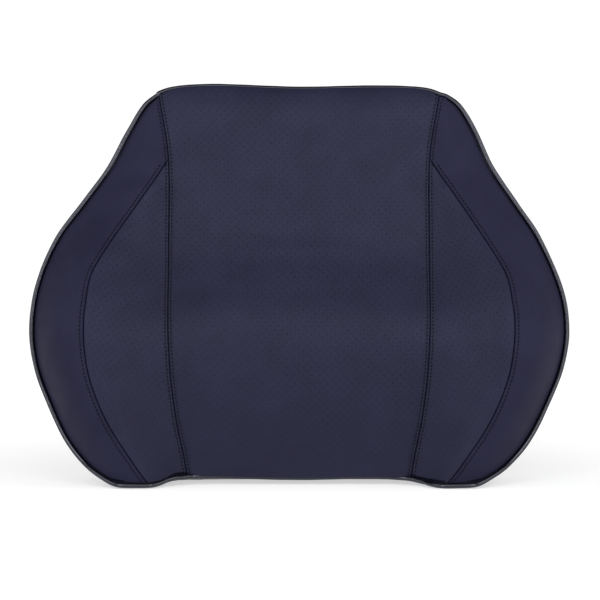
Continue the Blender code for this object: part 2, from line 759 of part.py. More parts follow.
def clear_scene():
    for obj in list(bpy.data.objects):
        bpy.data.objects.remove(obj)


def main():
    clear_scene()
    parts = bpy.data.collections.new("lumbar_support_cushion")
    cutters = bpy.data.collections.new("cutters")
    for collection in (parts, cutters):
        bpy.context.scene.collection.children.link(collection)
    leather = new_material("smooth_leather", (0.021, 0.021, 0.042), 0.45)
    perforated = new_material("perforated_leather", (0.022, 0.023, 0.045), 0.5)
    glossy = new_material("piping_leather", (0.012, 0.012, 0.02), 0.25)
    boxing_leather = new_material("boxing_leather", (0.018, 0.018, 0.034), 0.5)
    backing = new_material("back_fabric", (0.012, 0.012, 0.015), 0.85)
    foam = new_material("memory_foam", (0.75, 0.72, 0.6), 0.95)
    liner = new_material("liner_cloth", (0.6, 0.6, 0.6), 0.9)
    tape = new_material("zip_tape_cloth", (0.012, 0.012, 0.015), 0.85)
    coil = new_material("zip_coil_nylon", (0.015, 0.015, 0.018), 0.4)
    metal = new_material("zip_metal", (0.05, 0.05, 0.055), 0.35, 0.9)
    webbing = new_material("strap_webbing", (0.012, 0.012, 0.014), 0.8)
    plastic = new_material("buckle_plastic", (0.014, 0.014, 0.016), 0.4)
    front_panels(leather, perforated, parts)
    piping(glossy, parts)
    boxing(boxing_leather, parts)
    back_panels(backing, parts)
    padding(foam, liner, parts, cutters)
    zip_fastener(tape, coil, metal, parts, cutters)
    strap(webbing, leather, parts, cutters)
    buckle(plastic, parts, cutters)


main()
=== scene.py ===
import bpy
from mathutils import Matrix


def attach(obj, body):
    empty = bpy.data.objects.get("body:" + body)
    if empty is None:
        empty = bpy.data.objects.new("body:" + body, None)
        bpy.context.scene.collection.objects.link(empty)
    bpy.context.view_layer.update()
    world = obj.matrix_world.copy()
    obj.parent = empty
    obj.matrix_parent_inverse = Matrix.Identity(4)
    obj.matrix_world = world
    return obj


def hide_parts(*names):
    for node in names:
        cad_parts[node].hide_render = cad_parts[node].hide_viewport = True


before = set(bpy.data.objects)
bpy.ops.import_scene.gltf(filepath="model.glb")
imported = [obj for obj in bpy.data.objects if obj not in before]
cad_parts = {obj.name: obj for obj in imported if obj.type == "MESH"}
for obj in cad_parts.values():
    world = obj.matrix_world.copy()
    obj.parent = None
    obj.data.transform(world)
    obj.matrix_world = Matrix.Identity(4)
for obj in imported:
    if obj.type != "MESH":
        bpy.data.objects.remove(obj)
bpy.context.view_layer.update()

import math

import bpy
import numpy as np
from mathutils import Vector
from mathutils.geometry import delaunay_2d_cdt

# Lumbar support cushion. Lengths in the tables are millimetres, depth is the distance forward from the
# flat back's outer face, and the padded front faces -Y. Positions are made as arrays and placed in metres.
MM = 0.001
BACK_Y = 40.5

# Right half of the silhouette, from the base's middle round to the top's middle: x, depth, z
OUTLINE = [
    (0, 50, 3), (45, 50, 3.8), (85, 53, 4.5), (101, 64, 2.2), (114, 76, 0.2), (130, 78, 0),
    (143, 77, 0.8), (153, 71, 4.5), (170, 61, 15), (188, 54, 35), (204, 50, 64), (216, 47, 93),
    (221, 45, 125), (216.5, 42.5, 160), (200, 38, 201), (180, 33, 231), (160, 28, 261), (146, 25, 290),
    (133, 23, 312), (122, 22, 321), (109, 22, 326.5), (92, 22, 328.7), (60, 22, 329.3), (0, 22, 328),
]
# Seams of the right half by height: distance from the middle, and depth
MAIN_SEAM_X = [(0, 90), (20, 93), (53, 99), (94, 103.5), (191, 107), (268, 108), (318, 116), (330, 118)]
MAIN_SEAM_DEPTH = [
    (0, 52), (20, 57), (53, 64), (94, 71), (118, 73), (137, 68), (160, 56), (185, 44),
    (210, 38), (268, 34), (305, 31), (318, 28), (330, 23),
]
WING_SEAM_X = [
    (0, 117), (17, 129), (55, 152), (87, 165), (118, 170), (146, 169.5), (177, 163), (265, 109), (269, 106),
]
WING_SEAM_DEPTH = [
    (0, 78), (17, 82), (55, 88), (87, 91), (118, 91), (146, 86), (177, 73), (220, 50), (265, 35),
]
WING_SEAM_TOP = 264.0
CENTRE_CROWN = 5.0
# How far the real silhouette leans sideways at each height
LEAN = [
    (0, -2.3), (30, -1.2), (90, -0.2), (140, 0.2), (190, -0.8),
    (230, 0.4), (270, 1.6), (295, 2.5), (328, 2.2),
]

PIPING_R = 2.0
PANEL_INSET = 3.9
COVERED = 2.0  # how much further the panels reach over the piping along the top and the base
GUSSET_INSET = 2.0
LEATHER = 1.2
MAIN_PITCH = 3.0
WING_PITCH = 3.1
ROW_OFFSET = 2.35
WING_ROW_OFFSET = 2.9
ZIP_Z = 48.0
STRAP_Z = 190.0

rng = np.random.default_rng(7)


# ---------------- curves and the front's shape

def curve(table):
    """Smooth curve through (position, value) pairs, as a function of an array."""
    t = np.array([p[0] for p in table], float)
    v = np.array([p[1] for p in table], float)
    before = np.maximum(np.arange(len(t)) - 1, 0)
    after = np.minimum(np.arange(len(t)) + 1, len(t) - 1)
    slope = (v[after] - v[before]) / (t[after] - t[before])

    def at(x):
        x = np.clip(np.asarray(x, float), t[0], t[-1])
        i = np.clip(np.searchsorted(t, x, side="right") - 1, 0, len(t) - 2)
        h = t[i + 1] - t[i]
        s = (x - t[i]) / h
        return (
            v[i] * (1 + 2 * s) * (1 - s) ** 2
            + v[i + 1] * s * s * (3 - 2 * s)
            + h * s * (1 - s) * (slope[i] * (1 - s) - slope[i + 1] * s)
        )

    return at


def ease(t):
    """0 to 1 with a soft start and end."""
    t = np.clip(t, 0, 1)
    return t * t * (3 - 2 * t)


def hill(x, width):
    """Bell curve, 1 at x = 0."""
    return np.exp(-((x / width) ** 2))


def unit(vectors):
    return vectors / np.linalg.norm(vectors, axis=-1)[..., None]


def length_along(points):
    """Distance from the first point to each point of a line, measured along it."""
    return np.concatenate([[0], np.cumsum(np.linalg.norm(np.diff(points, axis=0), axis=1))])


def points_at(lengths, points, along):
    """Points of a line at the given lengths along it."""
    return np.stack([np.interp(lengths, along, column) for column in points.T], 1)


seam_x = curve(MAIN_SEAM_X)
seam_depth = curve(MAIN_SEAM_DEPTH)
wing_line = curve(WING_SEAM_X)
wing_seam_depth = curve(WING_SEAM_DEPTH)
lean_at = curve(LEAN)


def wing_x(z):
    least = seam_x(z) + 4
    return np.where(z < WING_SEAM_TOP, np.maximum(wing_line(z), least), least)


def wing_depth(z):
    t = ease((z - 240) / (WING_SEAM_TOP - 240))
    return wing_seam_depth(z) * (1 - t) + seam_depth(z) * t


def closed_outline(count=900):
    """The silhouette as evenly spaced (x, depth, z), anticlockwise from the base's middle."""
    right = [np.array(p, float) for p in OUTLINE]
    left = [p * (-1, 1, 1) for p in right[-2:0:-1]]
    knots = right + left
    ring = knots[-3:] + knots + knots[:4]
    lengths = np.cumsum([0] + [np.linalg.norm(b - a) for a, b in zip(ring, ring[1:])])
    curves = [curve(list(zip(lengths, [p[k] for p in ring]))) for k in range(3)]
    fine = np.linspace(lengths[3], lengths[3 + len(knots)], count * 4, endpoint=False)
    points = np.stack([c(fine) for c in curves], 1)
    closed = np.vstack([points, points[:1]])
    along = length_along(closed)
    return points_at(np.linspace(0, along[-1], count, endpoint=False), closed, along)


LOOP = closed_outline()


def inset_loop(inset):
    """The silhouette moved inwards, keeping each point's depth."""
    along = np.roll(LOOP, -1, 0) - np.roll(LOOP, 1, 0)
    normal = unit(np.stack([-along[:, 2], along[:, 0]], 1))
    moved = LOOP.copy()
    moved[:, 0] += normal[:, 0] * inset
    moved[:, 2] += normal[:, 1] * inset
    return moved


def covered_share():
    """1 along the top and the base's middle, where the leather hides most of the piping, 0 at the sides."""
    a, z = np.abs(LOOP[:, 0]), LOOP[:, 2]
    return (1 - ease((a - 96) / 26)) * np.where((z > 300) | (z < 30), 1.0, 0.0)


COVER = covered_share()
EDGE = inset_loop(PANEL_INSET - COVERED * COVER)
right_side = EDGE[(EDGE[:, 0] > 92) & (np.arange(len(EDGE)) < len(EDGE) // 2)]
right_side = right_side[np.argmin(right_side[:, 2]):]
right_side = right_side[: np.argmax(right_side[:, 2]) + 1]
RIGHT_EDGE = right_side[np.argsort(right_side[:, 2])]


def edge_at(z):
    """The cover's edge on the right at each height: x and depth."""
    height = RIGHT_EDGE[:, 2]
    return np.interp(z, height, RIGHT_EDGE[:, 0]), np.interp(z, height, RIGHT_EDGE[:, 1])


def distance_to(points, line):
    """Distance of each (x, z) point to a densely sampled line."""
    found = np.empty(len(points))
    for k in range(0, len(points), 4000):
        part = points[k : k + 4000]
        gap = part[:, None, :] - line[None, :, :]
        found[k : k + 4000] = np.sqrt((gap**2).sum(2).min(1))
    return found


def front_depth(x, z):
    """Depth of the cover's plain outer face."""
    a = np.abs(x)
    seam = seam_x(z)
    crest = wing_x(z)
    low = seam_depth(z)
    crown = CENTRE_CROWN * np.sin(np.pi * np.clip((z - 5) / 322, 0, 1))
    centre = low + crown * (1 - (a / seam) ** 2)
    t = np.clip((a - seam) / (crest - seam), 0, 1)
    t = 0.5 * t + 0.5 * ease(t)
    inner = low + (wing_depth(z) - low) * t
    edge, edge_depth = edge_at(z)
    t = np.clip((a - crest) / np.maximum(edge - crest, 1), 0, 1.2)
    wing = edge_depth + (wing_depth(z) - edge_depth) * (1 - t * t)
    return np.where(a <= seam, centre, np.where(a <= crest, inner, wing))


class SeamLine:
    """A seam on the right half, measured along its length on the curved front."""

    def __init__(self, x_at, low, high):
        self.z = np.arange(low, high, 0.25)
        self.x = x_at(self.z)
        depth = front_depth(self.x, self.z)
        steps = np.sqrt(np.diff(self.x) ** 2 + np.diff(self.z) ** 2 + np.diff(depth) ** 2)
        self.length = np.concatenate([[0], np.cumsum(steps)])
        slope = np.gradient(self.x, self.z)
        size = np.sqrt(1 + slope**2)
        self.nx = 1 / size
        self.nz = -slope / size

    def at(self, length, offset):
        values = [np.interp(length, self.length, v) for v in (self.x, self.z, self.nx, self.nz)]
        return np.stack([values[0] + values[2] * offset, values[1] + values[3] * offset], -1)

    def along(self, z):
        return np.interp(z, self.z, self.length)

    def across(self, a, z):
        return (a - np.interp(z, self.z, self.x)) * np.interp(z, self.z, self.nx)


MAIN = SeamLine(seam_x, 0, 330)
WING = SeamLine(wing_line, 0, 267.5)


# ---------------- padding swelled by a cloth simulation

GRID_STEP = 6.0
GRID_X = np.arange(-228, 229, GRID_STEP)
GRID_Z = np.arange(-6, 337, GRID_STEP)
CAP = 7.0


def pinned(points):
    """1 where the cover is held, along the seams, edge, base and back, falling to 0 on the free padding."""
    x, y, z = points[:, 0] / MM, points[:, 1] / MM, points[:, 2] / MM
    a = np.abs(x)
    edge = distance_to(np.stack([a, z], 1), EDGE[: len(EDGE) // 2 + 1, [0, 2]])
    main = np.abs(MAIN.across(a, z))
    wing = np.where(z < WING_SEAM_TOP, np.abs(WING.across(a, z)), 99)
    near = np.minimum(np.minimum(main, wing), edge)
    hold = 1 - ease((near - 3) / 4)
    return np.where((y > (BACK_Y - 18) * MM) | (z < 6), 1.0, hold)


def swell():
    """Forward growth of the padding in mm on the grid, from a cloth simulation of the padding's skin."""
    skin = remeshed_padding()
    body = bpy.data.objects.new("padding_skin", skin)
    bpy.context.scene.collection.objects.link(body)
    rest = np.array([v.co for v in skin.vertices])
    normal = np.array([v.normal for v in skin.vertices])
    group = body.vertex_groups.new(name="held")
    for k, weight in enumerate(pinned(rest)):
        if weight > 0.01:
            group.add([k], float(weight), "REPLACE")
    cloth = body.modifiers.new("Cloth", "CLOTH")
    settings = cloth.settings
    settings.quality = 6
    settings.mass = 0.4
    settings.tension_stiffness = 12
    settings.compression_stiffness = 12
    settings.shear_stiffness = 4
    settings.bending_stiffness = 0.8
    settings.use_pressure = True
    settings.uniform_pressure_force = 4
    settings.vertex_group_mass = "held"
    settings.effector_weights.gravity = 0
    cloth.point_cache.frame_start = 1
    cloth.point_cache.frame_end = 20
    for step in range(1, 21):
        bpy.context.scene.frame_set(step)
    graph = bpy.context.evaluated_depsgraph_get()
    shaped = bpy.data.meshes.new_from_object(body.evaluated_get(graph))
    moved = np.array([v.co for v in shaped.vertices])
    bpy.data.objects.remove(body)
    bpy.context.scene.frame_set(1)
    front = normal[:, 1] < -0.25
    growth = np.clip((rest - moved)[front, 1] / MM, -CAP, CAP)
    x, z = rest[front, 0] / MM, rest[front, 2] / MM
    gx, gz = np.meshgrid(GRID_X, GRID_Z, indexing="ij")
    field = np.empty(gx.size)
    for k in range(0, gx.size, 512):
        near = ((gx.ravel()[k : k + 512, None] - x) ** 2 + (gz.ravel()[k : k + 512, None] - z) ** 2)
        weight = np.exp(-near / (2 * 4.5**2)) + 1e-9
        field[k : k + 512] = (weight * growth).sum(1) / weight.sum(1)
    return field.reshape(gx.shape), shaped


def remeshed_padding():
    source = bpy.data.objects.new("padding_skin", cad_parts["foam_core"].data.copy())
    bpy.context.scene.collection.objects.link(source)
    remesh = source.modifiers.new("Remesh", "REMESH")
    remesh.mode = "VOXEL"
    remesh.voxel_size = 0.0055
    skin = bpy.data.meshes.new_from_object(source.evaluated_get(bpy.context.evaluated_depsgraph_get()))
    bpy.data.objects.remove(source)
    return skin


def cubic_weights(t):
    return np.stack(
        [
            -0.5 * t + t * t - 0.5 * t**3,
            1 - 2.5 * t * t + 1.5 * t**3,
            0.5 * t + 2 * t * t - 1.5 * t**3,
            -0.5 * t * t + 0.5 * t**3,
        ]
    )


def on_grid(field, x, z):
    """Smooth interpolation of a field on the grid."""
    u = np.clip((x - GRID_X[0]) / GRID_STEP, 1, len(GRID_X) - 3)
    v = np.clip((z - GRID_Z[0]) / GRID_STEP, 1, len(GRID_Z) - 3)
    i, j = u.astype(int), v.astype(int)
    wu, wv = cubic_weights(u - i), cubic_weights(v - j)
    total = 0
    for p in range(4):
        for q in range(4):
            total = total + wu[p] * wv[q] * field[i + p - 1, j + q - 1]
    return total


SWELL, PADDING = swell()


# ---------------- fine relief of the sewn leather

WAVES = rng.uniform(-1, 1, (9, 4))


def undulation(x, z):
    """Slow unevenness of hand-filled leather, about half a millimetre."""
    total = 0
    for k, (p, q, r, s) in enumerate(WAVES):
        size = 26 + 9 * k
        total = total + np.sin((x * p + z * q) / size * 6.28 + r * 3.1) * (0.4 + 0.6 * abs(s))
    return 0.022 * total


def stitch_row(along, across, pitch):
    """Groove under a row of stitches, deeper at each needle hole."""
    phase = np.mod(along / pitch + 0.5, 1) - 0.5
    return -0.26 * hill(across, 0.6) - 0.45 * hill(across, 0.5) * hill(phase * pitch, 0.6)


def relief(x, z):
    """Forward growth in mm from seams, stitch grooves, puckers and the turned edge."""
    a = np.abs(x)
    s1 = MAIN.across(a, z)
    l1 = MAIN.along(z)
    d1 = np.abs(s1)
    total = -1.0 * hill(s1, 0.5) + 0.26 * hill(d1 - 1.1, 0.5) - 0.75 * hill(s1, 4.5)
    total += stitch_row(l1, d1 - ROW_OFFSET, MAIN_PITCH)
    wobble = np.sin(l1 / 7.3 + 1.7 * np.sin(l1 / 31)) + 0.6 * np.sin(l1 / 3.9 + x)
    total += 0.10 * wobble * hill(d1 - 4, 4) * np.where(x > 0, 1.15, 0.85)
    s2 = WING.across(a, z)
    l2 = WING.along(z)
    fade = 1 - ease((z - 262) / 5)
    wing = -1.15 * hill(s2, 0.55) + 0.4 * hill(s2 - 1.5, 0.75) - 0.8 * hill(s2, 5)
    wing += stitch_row(l2, s2 - WING_ROW_OFFSET, WING_PITCH)
    wobble = np.sin(l2 / 6.1 + 1.3 * np.sin(l2 / 27) + x * 0.01) + 0.5 * np.sin(l2 / 3.3)
    wing += 0.09 * wobble * hill(np.abs(s2) - 5, 4)
    total += wing * fade
    edge = distance_to(np.stack([a, z], 1), EDGE[: len(EDGE) // 2 + 1, [0, 2]])
    total += -1.0 * np.clip(1 - edge / 6, 0, 1) ** 2 - 0.4 * hill(edge, 0.6)
    # small gathers beside the right seam's foot
    u = (x - 96) * 0.8 + (z - 22) * 0.6
    v = -(x - 96) * 0.6 + (z - 22) * 0.8
    total += 0.5 * np.sin(u / 3.1 + 0.25 * v) * hill(u, 17) * hill(v, 13)
    return total + undulation(x, z)


def lean(x, z):
    """The real cover's slight lean, none at the main seams and full at the silhouette."""
    a = np.abs(x)
    edge, _ = edge_at(z)
    seam = seam_x(z)
    t = ease((a - seam) / np.maximum(edge - seam, 4))
    rise = (0.9 * hill(x + 78, 42) - 0.4 * hill(x - 70, 60)) * ease((z - 270) / 55)
    low = ease((40 - z) / 40)
    foot = (1.9 * hill(x + 101, 7) - 1.6 * hill(x - 88, 22)) * low
    corner = 1.2 * np.sign(x) * ease((a - 120) / 40) * ease((85 - z) / 60)
    return x + lean_at(z) * t + corner, z + rise + foot


def place(x, depth, z):
    """Positions in metres from millimetre arrays, with the lean applied."""
    x, z = lean(np.asarray(x, float), np.asarray(z, float))
    return np.stack([x, BACK_Y - depth, z], -1) * MM


def flat_place(x, depth, z):
    """The same without the lean, for the zip and the strap."""
    x, depth, z = np.broadcast_arrays(np.asarray(x, float), depth, z)
    return np.stack([x, BACK_Y - depth, z], -1) * MM


def surface(x, z, below=0.0):
    """Points of the leather's front face, or of a layer below it."""
    x, z = np.asarray(x, float), np.asarray(z, float)
    return place(x, front_depth(x, z) + on_grid(SWELL, x, z) + relief(x, z) - below, z)


def surface_normal(x, z):
    step = 0.8
    across = surface(x + step, z) - surface(x - step, z)
    up = surface(x, z + step) - surface(x, z - step)
    return unit(np.cross(across, up))


# ---------------- pieces

LOWEST = -0.4 * MM  # the base is pressed flat by the seat it stands on


def add_piece(name, verts, faces, material, nodes, body="cushion"):
    """Make a mesh object that rides on a body and stands for the CAD nodes."""
    mesh = bpy.data.meshes.new(name)
    verts = np.array(verts, float)
    verts[:, 2] = np.maximum(verts[:, 2], LOWEST)
    mesh.from_pydata(verts.tolist(), [], faces)
    mesh.materials.append(material)
    mesh.polygons.foreach_set("use_smooth", np.full(len(mesh.polygons), True))
    mesh.update()
    obj = bpy.data.objects.new(name, mesh)
    bpy.context.scene.collection.objects.link(obj)
    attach(obj, body)
    if nodes:
        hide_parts(*nodes)
    return obj


def band(a, b):
    """Quads between two closed rows of vertex numbers."""
    count = len(a)
    return [[int(a[k]), int(b[k]), int(b[(k + 1) % count]), int(a[(k + 1) % count])] for k in range(count)]


def tube_pattern(rows, sides):
    """Quads round a tube of that many rows, which the tubes of one mesh repeat."""
    pattern = []
    for r in range(rows - 1):
        for k in range(sides):
            j = (k + 1) % sides
            pattern.append([r * sides + k, r * sides + j, (r + 1) * sides + j, (r + 1) * sides + k])
    return np.array(pattern)


def inside(points, ring):
    """Whether each point lies inside the closed polygon."""
    x, z = points[:, 0], points[:, 1]
    result = np.zeros(len(points), bool)
    x1, z1 = ring[:, 0], ring[:, 1]
    x2, z2 = np.roll(x1, -1), np.roll(z1, -1)
    for a, b, c, d in zip(x1, z1, x2, z2):
        if b == d:
            continue
        crossing = ((b > z) != (d > z)) & (x < (c - a) * (z - b) / (d - b) + a)
        result ^= crossing
    return result


def triangulate(ring, inner):
    """Triangles of the area inside the ring. Returns points, triangles and each input point's index."""
    points = np.vstack([ring, inner])
    count = len(ring)
    edges = [(k, (k + 1) % count) for k in range(count)]
    out = delaunay_2d_cdt([Vector(p) for p in points], edges, [], 1, 0.001)
    index = np.zeros(len(points), int)
    for new, olds in enumerate(out[3]):
        for old in olds:
            index[old] = new
    return np.array([tuple(v) for v in out[0]]), np.array([list(f) for f in out[2]]), index


HOLE_R = 0.49
HOLE_SIDES = 8
HOLE_DEEP = 0.44
HOLE_PITCH = (3.25, 3.27)  # across and up, between a perforation and the plain point beside it


def rails(line, offsets, step, side):
    """Rows of points along a seam at given distances from it, towards one side."""
    length = np.arange(0, line.length[-1], step)
    return np.vstack([line.at(length, side * s) for s in offsets])


def hole_rims(holes):
    """Eight points round each perforation, which the stretched middle pulls wider than the top and base."""
    turn = np.arange(HOLE_SIDES) * 2 * math.pi / HOLE_SIDES + 0.39
    circle = np.stack([np.cos(turn), np.sin(turn)], 1) * HOLE_R
    stretched = 0.82 + 0.18 * hill(holes[:, 1] - 190, 70)
    return (holes[:, None, :] + circle[None] * stretched[:, None, None]).reshape(-1, 2)


def without_holes(triangles, rims, count):
    """The triangles that don't fill a perforation."""
    owner = np.full(count, -1)
    owner[rims.ravel()] = np.repeat(np.arange(len(rims)), HOLE_SIDES)
    t = owner[triangles]
    filled = (t[:, 0] >= 0) & (t[:, 0] == t[:, 1]) & (t[:, 1] == t[:, 2])
    return triangles[~filled]


def pit_faces(count, base):
    """Walls and floors of the perforations: a row of upper rims, then a row of lower ones."""
    faces = []
    n = count * HOLE_SIDES
    for start in range(base, base + n, HOLE_SIDES):
        upper = np.arange(start, start + HOLE_SIDES)
        for i, j in zip(upper, np.roll(upper, -1)):
            faces.append([int(i), int(j), int(j) + n, int(i) + n])
        faces.append((upper + n).tolist())
    return faces


def turned_edge(ring, side, flange):
    """The panel's edge turned in, and a flange that closes the gap behind the neighbour's edge."""
    outward = np.roll(ring, -1, 0) - np.roll(ring, 1, 0)
    outward = np.stack([outward[:, 1], -outward[:, 0]], 1)
    outward /= np.linalg.norm(outward, axis=1)[:, None] + 1e-9
    edge = surface(ring[:, 0] * side, ring[:, 1])
    away = np.stack([outward[:, 0] * side, np.zeros(len(ring)), outward[:, 1]], 1)
    rows = []
    for spread, sunk in ((0.0, 1.3), (flange, 2.0)):
        tucked = np.where((ring[:, 1] < 14) | (ring[:, 1] > 312), min(spread, 0.4), spread)
        rows.append(edge + away * tucked[:, None] * MM + np.array([0, sunk * MM, 0]))
    return rows


def front_panel(node, side, ring, rows, lattice, margin, flange, skin):
    """A leather panel of the front, carried onto the surface, with perforations and turned-in edges.
    It is worked out on the right half (or the whole, for the centre), and side mirrors it."""
    is_hole = lattice[:, 2] > 0.5
    keep = inside(lattice[:, :2], ring)
    keep &= distance_to(lattice[:, :2], ring) > np.where(is_hole, margin, margin * 0.8)
    rims = hole_rims(lattice[keep & is_hole, :2])
    rows = np.vstack(rows)
    rows = rows[inside(rows, ring)]
    rows = rows[distance_to(rows, ring) > 0.22]
    points, triangles, index = triangulate(ring, np.vstack([rims, rows, lattice[keep & ~is_hole, :2]]))
    count, base = len(ring), len(points)
    rim_index = index[count : count + len(rims)].reshape(-1, HOLE_SIDES)
    verts = [surface(points[:, 0] * side, points[:, 1])]
    faces = without_holes(triangles, rim_index, base).tolist()
    if len(rims):
        x, z = points[rim_index.ravel(), 0] * side, points[rim_index.ravel(), 1]
        verts += [surface(x, z, 0.03), surface(x, z, HOLE_DEEP)]
        faces += pit_faces(len(rim_index), base)
        base += 2 * len(x)
    verts += turned_edge(ring, side, flange)
    steps = [index[:count], base + np.arange(count), base + count + np.arange(count)]
    faces += band(steps[0], steps[1]) + band(steps[1], steps[2])
    if side < 0:
        faces = [f[::-1] for f in faces]
    return add_piece(f"{node}_leather", np.vstack(verts), faces, skin, [node])


def seam_ring_part(line, offset, low, high, step):
    """Points of a panel's edge along a seam, from low to high, inside the panels' outer edge."""
    length = np.arange(0, line.length[-1], step)
    points = line.at(length, offset)
    points = points[(points[:, 1] > low) & (points[:, 1] < high)]
    return points[inside(points, EDGE[:, [0, 2]])]


def make_lattice(low, high, pitch, turn, perforated, scale_x=1.0):
    """Lattice points (x, z, hole) covering a box: holes at the even places, plain points at the odd ones."""
    pitch_x, pitch_z = pitch
    middle = (np.array(low) + high) / 2
    reach = np.linalg.norm(np.array(high) - low) / 2 + 10
    i = np.arange(-int(reach / pitch_x) - 1, int(reach / pitch_x) + 2)
    j = np.arange(-int(reach / pitch_z) - 1, int(reach / pitch_z) + 2)
    gi, gj = (v.ravel() for v in np.meshgrid(i, j, indexing="ij"))
    u, v = gi * pitch_x, gj * pitch_z
    c, s = math.cos(turn), math.sin(turn)
    x = (u * c - v * s) / scale_x + middle[0]
    z = u * s + v * c + middle[1]
    hole = ((gi + gj) % 2 == 0) & perforated
    return np.stack([x, z, hole], 1)


SEAM_GAP = 0.12
WING_SEAM_GAP = 0.2
MAIN_STEP = MAIN_PITCH / 3
WING_STEP = WING_PITCH / 3
# Rows of points beside the seams, by distance from the seam
MAIN_ROWS = [0.3, 0.65, 1.1, 1.55, 2.0, 2.45, 3.0]
WING_ROWS = [0.35, 0.7, 1.15, 1.7, 2.3, 2.9, 3.4, 4.2]


def centre_shape(edge):
    """Outline of the centre panel, and the rows of points beside its seams."""
    right = seam_ring_part(MAIN, -SEAM_GAP, 0, 330, MAIN_STEP)
    inner = np.abs(edge[:, 0]) < seam_x(edge[:, 1]) - 0.7
    top = edge[inner & (edge[:, 1] > 200)]
    bottom = edge[inner & (edge[:, 1] < 60)]
    top = top[np.argsort(-top[:, 0])]
    bottom = bottom[np.argsort(bottom[:, 0])]
    half = rails(MAIN, MAIN_ROWS, MAIN_STEP, -1)
    return np.vstack([right, top, right[::-1] * (-1, 1), bottom]), [half, half * (-1, 1)]


def inner_shape(edge):
    """The same for an inner panel, between the main seam and the wing seam."""
    a = seam_ring_part(MAIN, SEAM_GAP, 0, 330, MAIN_STEP)
    b = seam_ring_part(WING, -WING_SEAM_GAP, 0, 267.4, WING_STEP)
    b = b[b[:, 0] - np.interp(b[:, 1], a[:, 1], a[:, 0]) > 0.35]
    a = a[a[:, 1] < b[-1, 1] - 0.3]
    low = edge[(edge[:, 1] < 30) & (edge[:, 0] > a[0, 0] + 0.6) & (edge[:, 0] < b[0, 0] - 0.6)]
    low = low[np.argsort(low[:, 0])]
    rows = [rails(MAIN, MAIN_ROWS, MAIN_STEP, 1), rails(WING, WING_ROWS[:4], WING_STEP, -1)]
    return np.vstack([low, b, a[::-1]]), rows


def wing_shape(edge):
    """The same for a wing, from the wing seam out to the piping."""
    b = seam_ring_part(WING, WING_SEAM_GAP, 0, 267.4, WING_STEP)
    b = b[b[:, 0] - seam_x(b[:, 1]) > 0.55]
    a = seam_ring_part(MAIN, SEAM_GAP, b[-1, 1] + 0.4, 330, MAIN_STEP)
    edge = edge[: len(edge) // 2 + 1]
    first = np.argmin(np.linalg.norm(edge - (b[0] + (0.8, 0)), axis=1)) + 1
    last = np.argmin(np.linalg.norm(edge - (a[-1] + (0.8, 0)), axis=1)) - 1
    rows = [rails(WING, WING_ROWS, WING_STEP, 1), rails(MAIN, MAIN_ROWS, MAIN_STEP, 1)]
    return np.vstack([edge[first : last + 1], a[::-1], b[::-1]]), rows


def build_front(smooth, perforated):
    """The five leather panels of the front."""
    edge = EDGE[:, [0, 2]]
    border = [inset_loop(PANEL_INSET - COVERED * COVER + s)[:, [0, 2]] for s in (0.5, 1.1, 1.9, 3.0)]
    turn = math.radians(9)
    centre = make_lattice((-120, 0), (120, 330), HOLE_PITCH, 0, True)
    inner = make_lattice((85, 0), (175, 270), HOLE_PITCH, turn, True, 1.2)
    wing = make_lattice((100, 0), (225, 330), (2.6, 2.6), turn, False)
    plans = [("centre_panel", 1, centre_shape, centre, 3.6, 2.2)]
    for label, side in (("left", -1), ("right", 1)):
        plans.append((f"inner_panel_{label}", side, inner_shape, inner, 3.4, 2.2))
        plans.append((f"wing_panel_{label}", side, wing_shape, wing, 4.6, 0.6))
    for node, side, shape, lattice, margin, flange in plans:
        ring, rows = shape(edge)
        skin = smooth if shape is wing_shape else perforated
        piece = front_panel(node, side, ring, rows + border, lattice, margin, flange, skin)


class Stitches:
    """Rows of thread gathered into one mesh."""

    def __init__(self):
        self.verts, self.faces, self.count = [], [], 0

    def add(self, starts, ends, normals, radius):
        verts, faces = thread_mesh(starts, ends, normals, radius)
        self.verts.append(verts)
        self.faces += [[i + self.count for i in face] for face in faces]
        self.count += len(verts)

    def finish(self, name, thread):
        add_piece(name, np.vstack(self.verts), self.faces, thread, [])


def thread_mesh(starts, ends, normals, radius):
    """Short bent capsules, one for each stitch. Everything in metres."""
    share = np.array([0.0, 0.14, 0.5, 0.86, 1.0])
    lift = np.array([-0.9, 0.35, 0.75, 0.35, -0.9]) * radius
    thick = np.array([0.55, 1.0, 1.0, 1.0, 0.55]) * radius
    sides = 6
    along = ends - starts
    tangent = unit(along)
    side = unit(np.cross(tangent, normals))
    up = np.cross(side, tangent)
    turn = np.arange(sides) * 2 * math.pi / sides
    centre = starts[:, None] + along[:, None] * share[None, :, None] + up[:, None] * lift[None, :, None]
    circle = np.cos(turn)[None, None, :, None] * side[:, None, None]
    circle = circle + np.sin(turn)[None, None, :, None] * up[:, None, None]
    verts = centre[:, :, None] + circle * thick[None, :, None, None]
    count = len(starts)
    per = len(share) * sides
    pattern = tube_pattern(len(share), sides)
    quads = (pattern[None] + (np.arange(count) * per)[:, None, None]).reshape(-1, 4).tolist()
    caps = []
    for c in range(count):
        caps.append([c * per + k for k in reversed(range(sides))])
        caps.append([c * per + per - sides + k for k in range(sides)])
    return verts.reshape(-1, 3), quads + caps


FRONT_THREAD_R = 0.5


